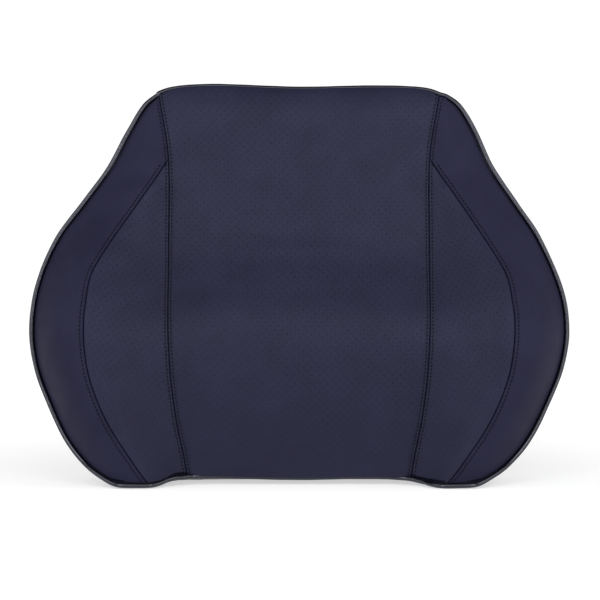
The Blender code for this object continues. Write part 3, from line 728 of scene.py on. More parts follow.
def front_stitches(thread):
    """Both rows of the main seams and the one row of the wing seams."""
    stitches = Stitches()
    rows = [(MAIN, -ROW_OFFSET, MAIN_PITCH, 330), (MAIN, ROW_OFFSET, MAIN_PITCH, 330)]
    rows.append((WING, WING_ROW_OFFSET, WING_PITCH, 262))
    for line, offset, pitch, top in rows:
        length = np.arange(0, line.length[-1] - pitch, pitch)
        starts = line.at(length + pitch * 0.17, offset)
        ends = line.at(length + pitch * 0.77, offset)
        keep = inside(starts, EDGE[:, [0, 2]]) & inside(ends, EDGE[:, [0, 2]]) & (ends[:, 1] < top)
        starts, ends = starts[keep], ends[keep]
        for side in (-1, 1):
            a = surface(starts[:, 0] * side, starts[:, 1])
            b = surface(ends[:, 0] * side, ends[:, 1])
            middle = (starts + ends) / 2
            normal = surface_normal(middle[:, 0] * side, middle[:, 1])
            jitter = rng.normal(0, 0.03 * MM, a.shape)
            stitches.add(a + jitter, b - jitter, normal, FRONT_THREAD_R * MM)
    stitches.finish("topstitch_thread", thread)


def build_piping(material):
    """Round cord in a glossy sleeve, with the sleeve's sewn flange behind it."""
    path = inset_loop(PIPING_R)
    count = len(path)
    centre = place(path[:, 0], path[:, 1] - 1.3 * COVER, path[:, 2])
    tangent = unit(np.roll(centre, -1, 0) - np.roll(centre, 1, 0))
    out = unit(np.cross(tangent, np.array([0, -1.0, 0])))
    ahead = np.cross(out, tangent)
    sides = 18
    turn = np.arange(sides) * 2 * math.pi / sides
    k = np.arange(count)
    wave = 0.05 * np.sin(k / 7.0 + 2 * np.sin(k / 41)) + 0.03 * np.sin(k / 2.7)
    radius = (PIPING_R + wave) * MM
    ring = np.cos(turn)[None, :, None] * out[:, None] + np.sin(turn)[None, :, None] * ahead[:, None]
    tube = centre[:, None] + ring * radius[:, None, None]
    verts = [tube.reshape(-1, 3)]
    faces = []
    for i in range(count):
        j = (i + 1) % count
        for s in range(sides):
            q = (s + 1) % sides
            faces.append([i * sides + s, j * sides + s, j * sides + q, i * sides + q])
    base = count * sides
    inner = centre - out * (PIPING_R * 0.8 * MM)
    rows = [inner + ahead * 0.3 * MM, inner - out * 2.4 * MM - ahead * 1.2 * MM]
    rows.append(rows[1] - ahead * 0.4 * MM)
    verts += rows
    for r in range(2):
        for i in range(count):
            j = (i + 1) % count
            a, b = base + r * count, base + (r + 1) * count
            faces.append([a + i, a + j, b + j, b + i])
    add_piece("edge_piping_cord", np.vstack(verts), faces, material, ["edge_piping"])


# ---------------- boxing strips round the sides

GUSSET = inset_loop(GUSSET_INSET)
GUSSET_STEPS = np.linalg.norm(np.roll(GUSSET[:, [0, 2]], -1, 0) - GUSSET[:, [0, 2]], axis=1)
GUSSET_ALONG = np.concatenate([[0], np.cumsum(GUSSET_STEPS)])
BACK_EDGE_DEPTH = 0.7
BACK_SEAM_ROW = 3.2


def round_the_side(values, s):
    return np.interp(np.mod(s, GUSSET_ALONG[-1]), GUSSET_ALONG, np.append(values, values[0]))


def side_point(s, w, grooves=(), push=0.0):
    """A point of the boxing: s along the silhouette, w forward from the back seam."""
    x, depth, z = (round_the_side(GUSSET[:, k], s) for k in range(3))
    x2, z2 = round_the_side(GUSSET[:, 0], s + 1), round_the_side(GUSSET[:, 2], s + 1)
    x1, z1 = round_the_side(GUSSET[:, 0], s - 1), round_the_side(GUSSET[:, 2], s - 1)
    size = np.hypot(x2 - x1, z2 - z1)
    nx, nz = (z2 - z1) / size, -(x2 - x1) / size
    width = depth - BACK_EDGE_DEPTH - PIPING_R * 0.7
    t = np.clip(w / width, 0, 1)
    base = np.where(z < 20, 1 - ease((np.abs(x) - 130) / 18), 0.0)
    z_back = z * (1 - base) + 0.2 * base
    z = z_back + (z - z_back) * ease(t)
    puff = 1.5 * np.sin(np.pi * t) ** 0.8 * (1 - base)
    puff = puff - 0.9 * hill(w, 0.9) - 0.9 * hill(width - w, 1.0) - 0.5 * hill(w, 4)
    puff = puff + stitch_row(s, w - BACK_SEAM_ROW, MAIN_PITCH) + stitch_row(s, width - w - 3.0, MAIN_PITCH)
    puff = puff + 0.12 * np.sin(s / 6.3 + 2 * np.sin(s / 37)) * hill(w - 2, 6)
    for middle in grooves:
        gap = np.mod(s - middle + GUSSET_ALONG[-1] / 2, GUSSET_ALONG[-1]) - GUSSET_ALONG[-1] / 2
        puff = puff - 1.0 * hill(gap, 0.6) + 0.25 * hill(np.abs(gap) - 1.3, 0.6)
    puff = puff + 0.8 * undulation(s, w * 2) + push
    x = x + nx * puff
    z = np.maximum(z + nz * puff, 0.0)
    return place(x, BACK_EDGE_DEPTH + t * width, z), np.stack([nx, 0 * nx, nz], -1)


def side_seams():
    """Where the boxing's four strips are sewn together, in length along the silhouette."""
    found = []
    for x, z in ((143, 0.8), (133, 312), (-133, 312), (-143, 0.8)):
        found.append(GUSSET_ALONG[np.argmin(np.hypot(GUSSET[:, 0] - x, GUSSET[:, 2] - z))])
    return found


def boxing_width(s):
    return round_the_side(GUSSET[:, 1], s) - BACK_EDGE_DEPTH - PIPING_R * 0.7


def back_row(s):
    """Where the boxing's stitches run beside the back seam."""
    return np.full(len(s), BACK_SEAM_ROW)


def front_row(s):
    """Where they run beside the piping."""
    return boxing_width(s) - 3.0


def build_gussets(material, thread):
    """The four strips of the boxing and their stitches."""
    seams = side_seams()
    total = GUSSET_ALONG[-1]
    spans = {
        "gusset_right": (seams[0], seams[1]),
        "gusset_top": (seams[1], seams[2]),
        "gusset_left": (seams[2], seams[3]),
        "gusset_bottom": (seams[3], seams[0] + total),
    }
    shares = [0, 0.01, 0.02, 0.035, 0.055, 0.075, 0.1, 0.14, 0.2, 0.3, 0.4, 0.5, 0.6, 0.7]
    shares += [0.8, 0.86, 0.9, 0.925, 0.945, 0.965, 0.98, 0.99, 1]
    shares = np.array(shares)
    stitches = Stitches()
    for name, (start, end) in spans.items():
        count = int((end - start) / 1.0)
        s = np.linspace(start + 0.1, end - 0.1, count)
        w = shares[None, :] * boxing_width(s)[:, None]
        grid, _ = side_point(np.broadcast_to(s[:, None], w.shape), w, seams)
        inner, _ = side_point(np.broadcast_to(s[:, None], w.shape), w, seams, -LEATHER)
        verts, faces = shell(grid, inner)
        add_piece(name + "_leather", verts, faces, material, [name])
        if name == "gusset_bottom":
            continue
        at = np.arange(start + 2, end - 4, MAIN_PITCH)
        at = np.ceil(at / MAIN_PITCH) * MAIN_PITCH
        for row in (back_row, front_row):
            a, n = side_point(at + 0.3, row(at), seams, 0.12)
            b, _ = side_point(at + MAIN_PITCH - 0.3, row(at + MAIN_PITCH), seams, 0.12)
            stitches.add(a, b, n, 0.27 * MM)
    stitches.finish("boxing_thread", thread)


def shell(outer, inner):
    """Closed thin body between two grids of the same size."""
    n, m = outer.shape[:2]
    verts = np.vstack([outer.reshape(-1, 3), inner.reshape(-1, 3)])
    a = (np.arange(n - 1)[:, None] * m + np.arange(m - 1)).ravel()
    quads = np.stack([a, a + m, a + m + 1, a + 1], 1)
    faces = quads.tolist() + (quads[:, ::-1] + n * m).tolist()
    rim = list(range(m)) + [r * m + m - 1 for r in range(1, n)]
    rim += [(n - 1) * m + c for c in range(m - 2, -1, -1)]
    rim += [r * m for r in range(n - 2, 0, -1)]
    for i, j in zip(rim, rim[1:] + rim[:1]):
        faces.append([i, j, j + n * m, i + n * m])
    normal = np.cross(outer[1, 0] - outer[0, 0], outer[0, 1] - outer[0, 0])
    if np.dot(normal, inner[0, 0] - outer[0, 0]) > 0:
        faces = [f[::-1] for f in faces]
    return verts, faces


# ---------------- back panels

SLOT_HALF = 5.0
SLOT_END = 166.0


def back_surface(x, z, below=0.0):
    """Back's outer face: flat, easing forward at its border and beside the zip opening."""
    x, z = np.asarray(x, float), np.asarray(z, float)
    border = distance_to(np.stack([x, z], 1), BACK_LOOP)
    along_zip = np.clip(np.abs(x) - SLOT_END, 0, None)
    slot = np.hypot(along_zip, np.clip(np.abs(z - ZIP_Z) - SLOT_HALF, 0, None))
    seam = np.where(along_zip > 0, np.abs(z - ZIP_Z), 9)
    sunk = 1.3 * np.clip(1 - border / 5, 0, 1) ** 2 + 0.5 * hill(border, 0.6)
    sunk = sunk + 0.35 * np.clip(1 - slot / 3.5, 0, 1) ** 2 + 0.45 * hill(slot, 0.4) + 0.5 * hill(seam, 0.5)
    sunk = sunk - stitch_row(x, slot - 2.2, MAIN_PITCH) * np.where(np.abs(x) < SLOT_END, 1, 0)
    slow = np.sin(x / 41 + 0.6 * np.sin(z / 33)) * np.sin(z / 47 + 1.0)
    sunk = sunk + 0.25 * (1 + slow) * ease(border / 30)
    return place(x, 0.12 + sunk + below, z)


def back_loop():
    """The back's edge as (x, z), with the base's middle straight."""
    s = np.linspace(0, GUSSET_ALONG[-1], 901)[:-1]
    x = round_the_side(GUSSET[:, 0], s)
    z = round_the_side(GUSSET[:, 2], s)
    base = np.where(z < 20, 1 - ease((np.abs(x) - 130) / 18), 0.0)
    return np.stack([x, z * (1 - base) + 0.2 * base], 1)


BACK_LOOP = back_loop()


def backwards(rows):
    """One normal for each row, pointing out of the back."""
    return np.tile([0, 1.0, 0], (len(rows), 1))


BACK_GAP = 0.15  # between the two panels beside the zip
BACK_STEP = 1.5
BACK_MIDDLE = np.array([0, 160])


def back_ring(loop, sign):
    """Outline of the upper (sign 1) or lower (-1) panel, stepped away from the zip."""
    part = loop[(loop[:, 1] - ZIP_Z) * sign > BACK_GAP + 0.6]
    near, far = ZIP_Z + sign * BACK_GAP, ZIP_Z + sign * SLOT_HALF
    reach = np.interp(ZIP_Z, *np.array(sorted((z, x) for x, z in loop[: len(loop) // 2])).T)
    corner = [(SLOT_END, near + sign * t) for t in (3.2, 1.6, 0.0)]
    run = [(x, near) for x in np.arange(SLOT_END + 0.1, reach - 0.5, BACK_STEP)]
    left = [(-x, z) for x, z in run[::-1] + corner + [(SLOT_END, far)]]
    middle = [(x, far) for x in np.arange(-SLOT_END + 0.4, SLOT_END - 0.3, BACK_STEP)]
    right = [(SLOT_END, far)] + corner + run
    start = np.argmin(np.where(part[:, 0] * sign > 0, np.abs(part[:, 1] - ZIP_Z), 1e9))
    return np.vstack([np.array(left + middle + right)[::sign], np.roll(part, -start, 0)])


def back_rows(loop, sign):
    """Rows of points beside the zip's opening and inside the border."""
    run = np.arange(-SLOT_END + 1, SLOT_END - 1, 1.0)
    rows = []
    for offset in (0.4, 0.8, 1.3, 1.8, 2.2, 2.6, 3.2, 4.2):
        rows.append(np.stack([run, np.full(len(run), ZIP_Z + sign * SLOT_HALF + sign * offset)], 1))
    inwards = unit(BACK_MIDDLE - loop)
    return np.vstack(rows + [loop + inwards * inset for inset in (0.6, 1.3, 2.2, 3.4, 5)])


def build_back(material):
    """Two fabric panels with turned-in edges."""
    loop = BACK_LOOP + (BACK_MIDDLE - BACK_LOOP) * 0.0012
    for name, sign in (("upper", 1), ("lower", -1)):
        ring = back_ring(loop, sign)
        rows = back_rows(loop, sign)
        rows = rows[inside(rows, ring)]
        rows = rows[distance_to(rows, ring) > 0.25]
        lattice = make_lattice((-225, 0), (225, 330), (3.4, 3.4), 0, False)[:, :2]
        lattice = lattice[inside(lattice, ring)]
        lattice = lattice[distance_to(lattice, ring) > 5]
        points, triangles, index = triangulate(ring, np.vstack([rows, lattice]))
        verts = [back_surface(points[:, 0], points[:, 1]), back_surface(ring[:, 0], ring[:, 1], 1.0)]
        edge = band(index[: len(ring)], len(points) + np.arange(len(ring)))
        faces = triangles[:, ::-1].tolist() + [quad[::-1] for quad in edge]
        nodes = [f"back_panel_{name}"]
        add_piece(f"back_panel_{name}_fabric", np.vstack(verts), faces, material, nodes)


def back_stitches(thread):
    """One row on each side of the zip."""
    at = np.arange(-SLOT_END + 3, SLOT_END - 4, MAIN_PITCH)
    at = np.ceil(at / MAIN_PITCH) * MAIN_PITCH
    stitches = Stitches()
    for sign in (1, -1):
        z = np.full(len(at), ZIP_Z + sign * (SLOT_HALF + 2.2))
        a, b = back_surface(at + 0.3, z, -0.12), back_surface(at + MAIN_PITCH - 0.3, z, -0.12)
        stitches.add(a, b, backwards(at), 0.25 * MM)
    stitches.finish("back_thread", thread)


# ---------------- zip

COIL_HALF = 151.0
COIL_PITCH = 1.5


def tube(path, radius, sides=6):
    """Round tube along each of many paths: path is (paths, points, 3) in metres."""
    paths, points = path.shape[:2]
    tangent = unit(np.gradient(path, axis=1))
    guide = np.array([0.31, 0.17, 0.93])
    first = unit(np.cross(tangent, guide))
    second = np.cross(tangent, first)
    turn = np.arange(sides) * 2 * math.pi / sides
    ring = np.cos(turn)[:, None] * first[:, :, None] + np.sin(turn)[:, None] * second[:, :, None]
    verts = path[:, :, None] + ring * radius
    caps = [[k for k in reversed(range(sides))], [(points - 1) * sides + k for k in range(sides)]]
    offset = np.arange(paths) * points * sides
    quads = (tube_pattern(points, sides)[None] + offset[:, None, None]).reshape(-1, 4)[:, ::-1].tolist()
    ends = [[o + k for k in cap][::-1] for o in offset for cap in caps]
    return verts.reshape(-1, 3), quads + ends


def build_zip(tape_cloth, nylon):
    """Coils of round nylon on two woven tapes; the loops of one side sit between the other's."""
    turns = np.arange(-COIL_HALF - 2.5, COIL_HALF - 0.5, COIL_PITCH)
    for name, sign in (("upper", 1), ("lower", -1)):
        shift = COIL_PITCH / 2 if sign < 0 else 0
        # one coil loop: from the tape side over the top to the head and back underneath
        share = np.linspace(0, 1, 9)
        angle = share * 2 * math.pi
        z = 1.28 - 1.02 * np.cos(angle)
        depth = 1.5 - 0.66 * np.sin(angle)
        across = share * COIL_PITCH * 0.98 - 0.4 * np.sin(angle / 2)
        x = turns[:, None] + shift + across[None]
        path = flat_place(x, depth, ZIP_Z + sign * (0.2 + (2.5 - z)))
        verts, faces = tube(path, 0.3 * MM)
        add_piece(f"zip_coil_{name}_loops", verts, faces, nylon, [f"zip_coil_{name}"])
        xs = np.arange(-162, 162.5, 1.5)
        rows = np.array([0.0, 0.15, 0.5, 1.2, 2.2, 3.4, 5, 7, 9, 11, 11.6, 11.9, 12.0])
        gx, gr = np.meshgrid(xs, rows, indexing="ij")
        wave = 0.06 * np.sin(gx / 5.7) * np.sin(gr / 2.1 + 1)
        rim = 0.22 * (hill(gr, 0.2) + hill(gr - 12, 0.2))
        cord = 0.1 * hill(gr - 0.9, 0.5)
        zz = ZIP_Z + sign * (3.0 + gr)
        top = flat_place(gx, 1.55 + wave + rim - cord, zz)
        low = flat_place(gx, 2.05 + wave - rim, zz)
        verts, faces = shell(top, low)
        nodes = [f"zip_tape_{name}"]
        add_piece(f"zip_tape_{name}_woven", verts, faces, tape_cloth, nodes)


# ---------------- strap, tabs and keeper

STRAP_HALF = 19.0
STRAP_T = 1.5
STRAP_RUN = -1.85
STRAP_OVER = -3.65
BUCKLE_DEPTH = -6.2
BAR_X = 36.5
WRAP_R = 3.1
STRAP_THREAD_R = 0.26
KEEPER_X = 112


def strap_line(tail_x):
    """The webbing's middle line on the right: x and depth from the side tab, round the bar and back."""
    points = [(181, STRAP_RUN), (150, STRAP_RUN), (120, STRAP_RUN), (90, STRAP_RUN), (70, STRAP_RUN)]
    points += [(BAR_X + 20, STRAP_RUN), (BAR_X + 9, STRAP_RUN - 0.4)]
    for k in range(17):
        angle = math.pi / 2 + math.pi * k / 16
        points.append((BAR_X + WRAP_R * math.cos(angle), BUCKLE_DEPTH + WRAP_R * math.sin(angle)))
    points += [(BAR_X + 9, BUCKLE_DEPTH - WRAP_R + 1.2), (BAR_X + 20, STRAP_OVER - 0.5)]
    points += [(BAR_X + 27, STRAP_OVER)]
    points += [(x, STRAP_OVER) for x in np.arange(BAR_X + 37, tail_x - 4, 10)] + [(tail_x, STRAP_OVER)]
    line = np.array(points)
    along = length_along(line)
    return points_at(np.arange(0, along[-1] + 0.5, 0.8), line, along)


def webbing(name, sign, tail_x, material):
    """A ribbed strap along strap_line, with slightly wavy edges."""
    line = strap_line(tail_x)
    tangent = unit(np.gradient(line, axis=0))
    normal = np.stack([-tangent[:, 1], tangent[:, 0]], 1)
    half = np.array([0.1, 0.3, 0.5, 0.7, 0.9, 0.95, 0.985, 1])
    across = np.concatenate([-half[::-1], half])
    thin = STRAP_T / 2 * np.sqrt(np.clip(1 - np.abs(across) ** 24, 0.08, 1))
    k = np.arange(len(line))
    rib = 0.05 * np.sin(k * 2 * math.pi / 2.5)[:, None] * (1 - np.abs(across) ** 12)[None]
    grids = []
    for face in (1, -1):
        out = face * (thin[None] * np.ones((len(line), 1)) - 0.06 + rib * face)
        x = sign * (line[:, 0:1] + normal[:, 0:1] * out)
        depth = line[:, 1:2] + normal[:, 1:2] * out
        z = STRAP_Z + across[None] * (STRAP_HALF - 0.05 + 0.05 * np.sin(k / 2.0)[:, None])
        grids.append(flat_place(x, depth, z))
    verts, faces = shell(grids[0], grids[1])
    add_piece(f"strap_{name}_webbing", verts, faces, material, [f"strap_{name}"])


def stitched_box(corners, step, depth_at):
    """Stitches round a closed outline of (x, z) corners, as starts and ends in metres."""
    starts, ends = [], []
    for (x1, z1), (x2, z2) in zip(corners, corners[1:] + corners[:1]):
        size = math.hypot(x2 - x1, z2 - z1)
        count = max(int(size / step), 1)
        for k in range(count):
            a, b = (k + 0.12) / count, (k + 0.88) / count
            starts.append((x1 + (x2 - x1) * a, z1 + (z2 - z1) * a))
            ends.append((x1 + (x2 - x1) * b, z1 + (z2 - z1) * b))
    runs = [np.array(starts).T, np.array(ends).T]
    return [flat_place(x, depth_at(x, z), z) for x, z in runs]


def tab_depth(x, z):
    """Outer face of a leather tab over the strap's end."""
    over = (1 - ease((np.abs(z - STRAP_Z) - 19.6) / 1.6)) * (1 - ease((np.abs(x) - 181.2) / 1.6))
    edge = np.minimum(24 - np.abs(z - STRAP_Z), 17 - np.abs(np.abs(x) - 167))
    plain = -1.5 - 2.55 * over + 0.35 * hill(edge, 0.7)
    row = np.abs(edge - 2.0)
    return plain + 0.12 * hill(row, 0.5)


def build_strap(web, leather_skin, thread):
    """Both straps, their leather tabs with a sewn border and cross, and the left tail's sewn end."""
    webbing("left", -1, 84, web)
    webbing("right", 1, 136, web)
    stitches = Stitches()
    u = np.linspace(-1, 1, 49)
    u = np.sign(u) * (1 - (1 - np.abs(u)) ** 1.25)
    gx, gz = np.meshgrid(u, u, indexing="ij")
    for name, sign in (("left", -1), ("right", 1)):
        # rounded corners
        pull = 1 - 0.06 * np.clip(np.abs(gx) + np.abs(gz) - 1.55, 0, 1) / 0.45
        x = sign * (167 + 17 * gx * pull)
        z = STRAP_Z + 24 * gz * pull
        outer = tab_depth(x, z)
        inner = np.minimum(outer + LEATHER, -0.3)
        verts, faces = shell(flat_place(x, outer, z), flat_place(x, inner, z))
        nodes = [f"strap_anchor_{name}"]
        add_piece(f"strap_tab_{name}_leather", verts, faces, leather_skin, nodes)
        border = [(152.5, 168.3), (181.8, 168.3), (181.8, 211.7), (152.5, 211.7)]
        cross = [(154, 174), (178, 206), (178, 174), (154, 206)]
        for corners in (border, cross):
            corners = [(sign * x, z) for x, z in corners]
            a, b = stitched_box(corners, 3.0, lambda x, z: tab_depth(x, z) - 0.1)
            stitches.add(a, b, backwards(a), STRAP_THREAD_R * MM)
    sewn_end = [(-79, 175), (-66, 175), (-66, 205), (-79, 205)]
    a, b = stitched_box(sewn_end, 2.6, lambda x, z: np.full(len(x), STRAP_OVER - STRAP_T / 2 - 0.05))
    stitches.add(a, b, backwards(a), STRAP_THREAD_R * MM)
    stitches.finish("strap_thread", thread)


def build_keeper(web):
    """Woven elastic loop round the strap and its tail."""
    half_z, low, high, r = 20.05, -5.2, -0.58, 1.3
    corners = [(half_z - r, high - r, 0), (half_z - r, low + r, 1)]
    corners += [(-half_z + r, low + r, 2), (-half_z + r, high - r, 3)]
    path = []
    for cz, cd, quarter in corners:
        for k in range(7):
            angle = math.pi / 2 - (quarter + k / 6) * math.pi / 2
            path.append((cz + r * math.cos(angle), cd + r * math.sin(angle)))
    path = np.array(path + path[:1])
    along = length_along(path)
    path = points_at(np.linspace(0, along[-1], 161)[:-1], path, along)
    tangent = unit(np.roll(path, -1, 0) - np.roll(path, 1, 0))
    out = np.stack([-tangent[:, 1], tangent[:, 0]], 1)
    if ((path - path.mean(0)) * out).sum() < 0:
        out = -out
    profile = [(-5, 0), (-4.9, 0.3), (-4.2, 0.42), (-2.2, 0.36), (0, 0.42)]
    profile += [(2.2, 0.36), (4.2, 0.42), (4.9, 0.3), (5, 0)]
    profile += [(x, -0.36 if abs(x) < 4.5 else -0.2) for x in (4.7, 2.5, 0, -2.5, -4.7)]
    count, sides = len(path), len(profile)
    verts, faces = [], []
    for (z, depth), (oz, od) in zip(path, out):
        for x, t in profile:
            point = (KEEPER_X + x, BACK_Y - depth - od * t, STRAP_Z + z + oz * t)
            verts.append([v * MM for v in point])
    for k in range(count):
        j = (k + 1) % count
        for s in range(sides):
            q = (s + 1) % sides
            faces.append([k * sides + s, k * sides + q, j * sides + q, j * sides + s])
    nodes = ["strap_keeper"]
    add_piece("strap_keeper_elastic", verts, faces, web, nodes, body="keeper")


# ---------------- hidden padding

ZIP_ROOM = 5.2


def build_padding(foam, liner):
    """The foam block, as the simulation left it, and the liner round it, both sunk behind the zip."""
    mesh = PADDING
    co = np.array([v.co for v in mesh.vertices])
    normal = np.array([v.normal for v in mesh.vertices])
    faces = [list(p.vertices) for p in mesh.polygons]
    for label, out, back, material, node, name in (
        ("foam", 0.0, 3.4, foam, "foam_core", "memory_foam"),
        ("liner", 0.9, 2.6, liner, "inner_liner", "liner_cloth"),
    ):
        shape = co + normal * out * MM
        x, z = np.abs(co[:, 0]) / MM, co[:, 2] / MM
        near = np.minimum(np.abs(MAIN.across(x, z)), np.where(z < 270, np.abs(WING.across(x, z)), 99))
        shape[:, 1] += np.where(normal[:, 1] < -0.1, 1.0 + 2.4 * hill(near, 9), 0) * MM
        limit = (BACK_Y - back) * MM
        behind = normal[:, 1] > 0.6
        shape[behind, 1] = np.minimum(shape[behind, 1], limit)
        x, z = shape[:, 0] / MM, shape[:, 2] / MM
        behind_zip = (np.abs(x) < 172) & (np.abs(z - ZIP_Z) < 11)
        deep = behind_zip & (shape[:, 1] > (BACK_Y - ZIP_ROOM) * MM)
        shape[deep, 1] = (BACK_Y - ZIP_ROOM + out * 0.45) * MM
        piece = add_piece(f"{label}_body", shape, faces, material, [node])
        if label == "foam":
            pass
        else:
            thick = piece.modifiers.new("Thickness", "SOLIDIFY")
            thick.thickness = 0.3 * MM
            thick.offset = -1


# ---------------- moulded and metal parts

def finish_hardware(plastic, metal):
    """CAD parts whose shape is right: rounded edges and their own finish."""
    for name, width in (
        ("buckle_socket", 0.5), ("buckle_plug", 0.5), ("buckle_arm_upper", 0.5), ("buckle_arm_lower", 0.5),
        ("zip_stop_left", 0.12), ("zip_stop_right", 0.12), ("zip_slider", 0.22), ("zip_pull", 0.28),
    ):
        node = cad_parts[name]
        material = plastic if name.startswith("buckle") else metal
        for slot in node.material_slots:
            slot.material = material
        rounded = node.modifiers.new("Rounded edges", "BEVEL")
        rounded.width = width * MM
        rounded.segments = 3
        rounded.limit_method = "ANGLE"
        rounded.angle_limit = math.radians(40)
        rounded.harden_normals = False


# ---------------- materials

class Nodes:
    """Small helper that adds and links shader nodes."""

    def __init__(self, name):
        self.material = bpy.data.materials.new(name)
        self.material.use_nodes = True
        self.tree = self.material.node_tree
        self.shader = self.tree.nodes["Principled BSDF"]
        self.coords = self.tree.nodes.new("ShaderNodeTexCoord").outputs["Object"]

    def add(self, kind, inputs=None, **settings):
        node = self.tree.nodes.new(kind)
        for key, value in settings.items():
            setattr(node, key, value)
        for key, value in (inputs or {}).items():
            if isinstance(value, bpy.types.NodeSocket):
                self.tree.links.new(value, node.inputs[key])
            else:
                node.inputs[key].default_value = value
        return node

    def noise(self, scale, detail=3.0, rough=0.5):
        inputs = {"Vector": self.coords, "Scale": scale, "Detail": detail, "Roughness": rough}
        return self.add("ShaderNodeTexNoise", inputs).outputs["Fac"]

    def cells(self, scale, feature="F1", randomness=1.0):
        inputs = {"Vector": self.coords, "Scale": scale, "Randomness": randomness}
        return self.add("ShaderNodeTexVoronoi", inputs, feature=feature).outputs["Distance"]

    def ramp(self, value, low, high, start=0.0, end=1.0):
        inputs = {"Value": value, "From Min": low, "From Max": high, "To Min": start, "To Max": end}
        return self.add("ShaderNodeMapRange", inputs).outputs["Result"]

    def math(self, operation, a, b=0.0):
        return self.add("ShaderNodeMath", {0: a, 1: b}, operation=operation).outputs[0]

    def mix_colour(self, factor, a, b):
        node = self.add("ShaderNodeMix", {"Factor": factor}, data_type="RGBA")
        for key, value in (("A", a), ("B", b)):
            socket = [s for s in node.inputs if s.name == key and s.type == "RGBA"][0]
            if isinstance(value, bpy.types.NodeSocket):
                self.tree.links.new(value, socket)
            else:
                socket.default_value = (*value, 1)
        return [s for s in node.outputs if s.type == "RGBA"][0]

    def bump(self, height, strength, distance, normal=None):
        inputs = {"Height": height, "Strength": strength, "Distance": distance}
        if normal is not None:
            inputs["Normal"] = normal
        return self.add("ShaderNodeBump", inputs).outputs["Normal"]

    def link(self, socket, value):
        if isinstance(value, bpy.types.NodeSocket):
            self.tree.links.new(value, self.shader.inputs[socket])
        else:
            self.shader.inputs[socket].default_value = value


def leather(name, dark, light, rough, specular, grain=0.35):
    """Dyed leather with a pebbled grain over slow patches of tone."""
    m = Nodes(name)
    patches = m.noise(28, 4, 0.55)
    fine = m.noise(900, 2, 0.6)
    tone = m.math("ADD", m.ramp(patches, 0.35, 0.65, 0, 0.75), m.ramp(fine, 0.3, 0.7, 0, 0.25))
    m.link("Base Color", m.mix_colour(tone, dark, light))
    pebble = m.cells(1150, "F1", 0.9)
    wrinkle = m.cells(420, "SMOOTH_F1", 1.0)
    height = m.math("ADD", m.ramp(pebble, 0, 0.8, 1, 0), m.math("MULTIPLY", wrinkle, 0.6))
    height = m.math("ADD", height, m.math("MULTIPLY", m.noise(3000, 2), 0.3))
    first = m.bump(m.noise(120, 3), 0.25, 0.0006)
    m.link("Normal", m.bump(height, grain, 0.00018, first))
    worn = m.math("ADD", m.noise(60, 3), m.math("MULTIPLY", pebble, 0.4))
    m.link("Roughness", m.ramp(worn, 0.4, 1.0, rough - 0.06, rough + 0.08))
    m.link("Specular IOR Level", specular)
    m.link("Specular Tint", (0.82, 0.84, 1.0, 1))
    return m.material


def weave(name, dark, light, threads, rough, depth=0.5):
    """Plain weave seen on faces that look along Y: warp up, weft across."""
    m = Nodes(name)
    split = m.add("ShaderNodeSeparateXYZ", {0: m.coords})
    turn = threads * 2 * math.pi
    warp = m.math("SINE", m.math("MULTIPLY", split.outputs["X"], turn))
    weft = m.math("SINE", m.math("MULTIPLY", split.outputs["Z"], turn))
    over = m.math("MULTIPLY", warp, weft)
    fuzz = m.noise(2500, 3, 0.7)
    slow = m.noise(45, 3)
    height = m.math("ADD", m.ramp(over, -1, 1), m.math("MULTIPLY", fuzz, 0.4))
    tone = m.math("ADD", m.ramp(over, -1, 1, 0, 0.6), m.ramp(slow, 0.3, 0.7, 0, 0.4))
    m.link("Base Color", m.mix_colour(tone, dark, light))
    m.link("Normal", m.bump(height, depth, 0.0003))
    m.link("Roughness", m.ramp(fuzz, 0.3, 0.7, rough, min(rough + 0.12, 1)))
    m.link("Sheen Weight", 0.15)
    m.link("Sheen Roughness", 0.5)
    m.link("Specular IOR Level", 0.25)
    return m.material


def thread_skin_with_painted_hole_shade():
    m = Nodes("topstitch_thread_nylon_with_painted_shade")
    inputs = {"Vector": m.coords, "Scale": 900.0, "Distortion": 1.5}
    twist = m.add("ShaderNodeTexWave", inputs, bands_direction="DIAGONAL").outputs["Fac"]
    # painted shade: the thread is near black, far darker than the leather, so the stitch rows read as the
    # dark needle holes; this is partly the thread's own dark colour and partly painted shade of those holes
    m.link("Base Color", m.mix_colour(twist, (0.0010, 0.0010, 0.0020), (0.0030, 0.0030, 0.0055)))
    m.link("Normal", m.bump(twist, 0.5, 0.0001))
    m.link("Roughness", m.ramp(twist, 0, 1, 0.5, 0.7))
    m.link("Specular IOR Level", 0.12)
    return m.material


def foam_skin():
    m = Nodes("memory_foam_cells")
    cells = m.cells(600)
    m.link("Base Color", m.mix_colour(m.ramp(cells, 0, 0.7), (0.62, 0.57, 0.42), (0.80, 0.77, 0.66)))
    m.link("Normal", m.bump(cells, 0.6, 0.0006))
    m.link("Roughness", m.ramp(cells, 0, 1, 0.95, 0.85))
    return m.material


def nylon_skin():
    m = Nodes("zip_coil_monofilament")
    shade = m.noise(500, 3)
    m.link("Base Color", m.mix_colour(shade, (0.006, 0.006, 0.008), (0.016, 0.016, 0.020)))
    m.link("Roughness", m.ramp(shade, 0.3, 0.7, 0.25, 0.42))
    m.link("Normal", m.bump(m.noise(2600, 2), 0.2, 0.00005))
    return m.material


def plastic_skin():
    m = Nodes("buckle_acetal")
    texture = m.noise(2200, 3, 0.6)
    wear = m.noise(90, 4)
    m.link("Base Color", m.mix_colour(wear, (0.006, 0.006, 0.007), (0.018, 0.018, 0.020)))
    m.link("Normal", m.bump(texture, 0.35, 0.00012))
    m.link("Roughness", m.ramp(wear, 0.3, 0.7, 0.34, 0.5))
    return m.material


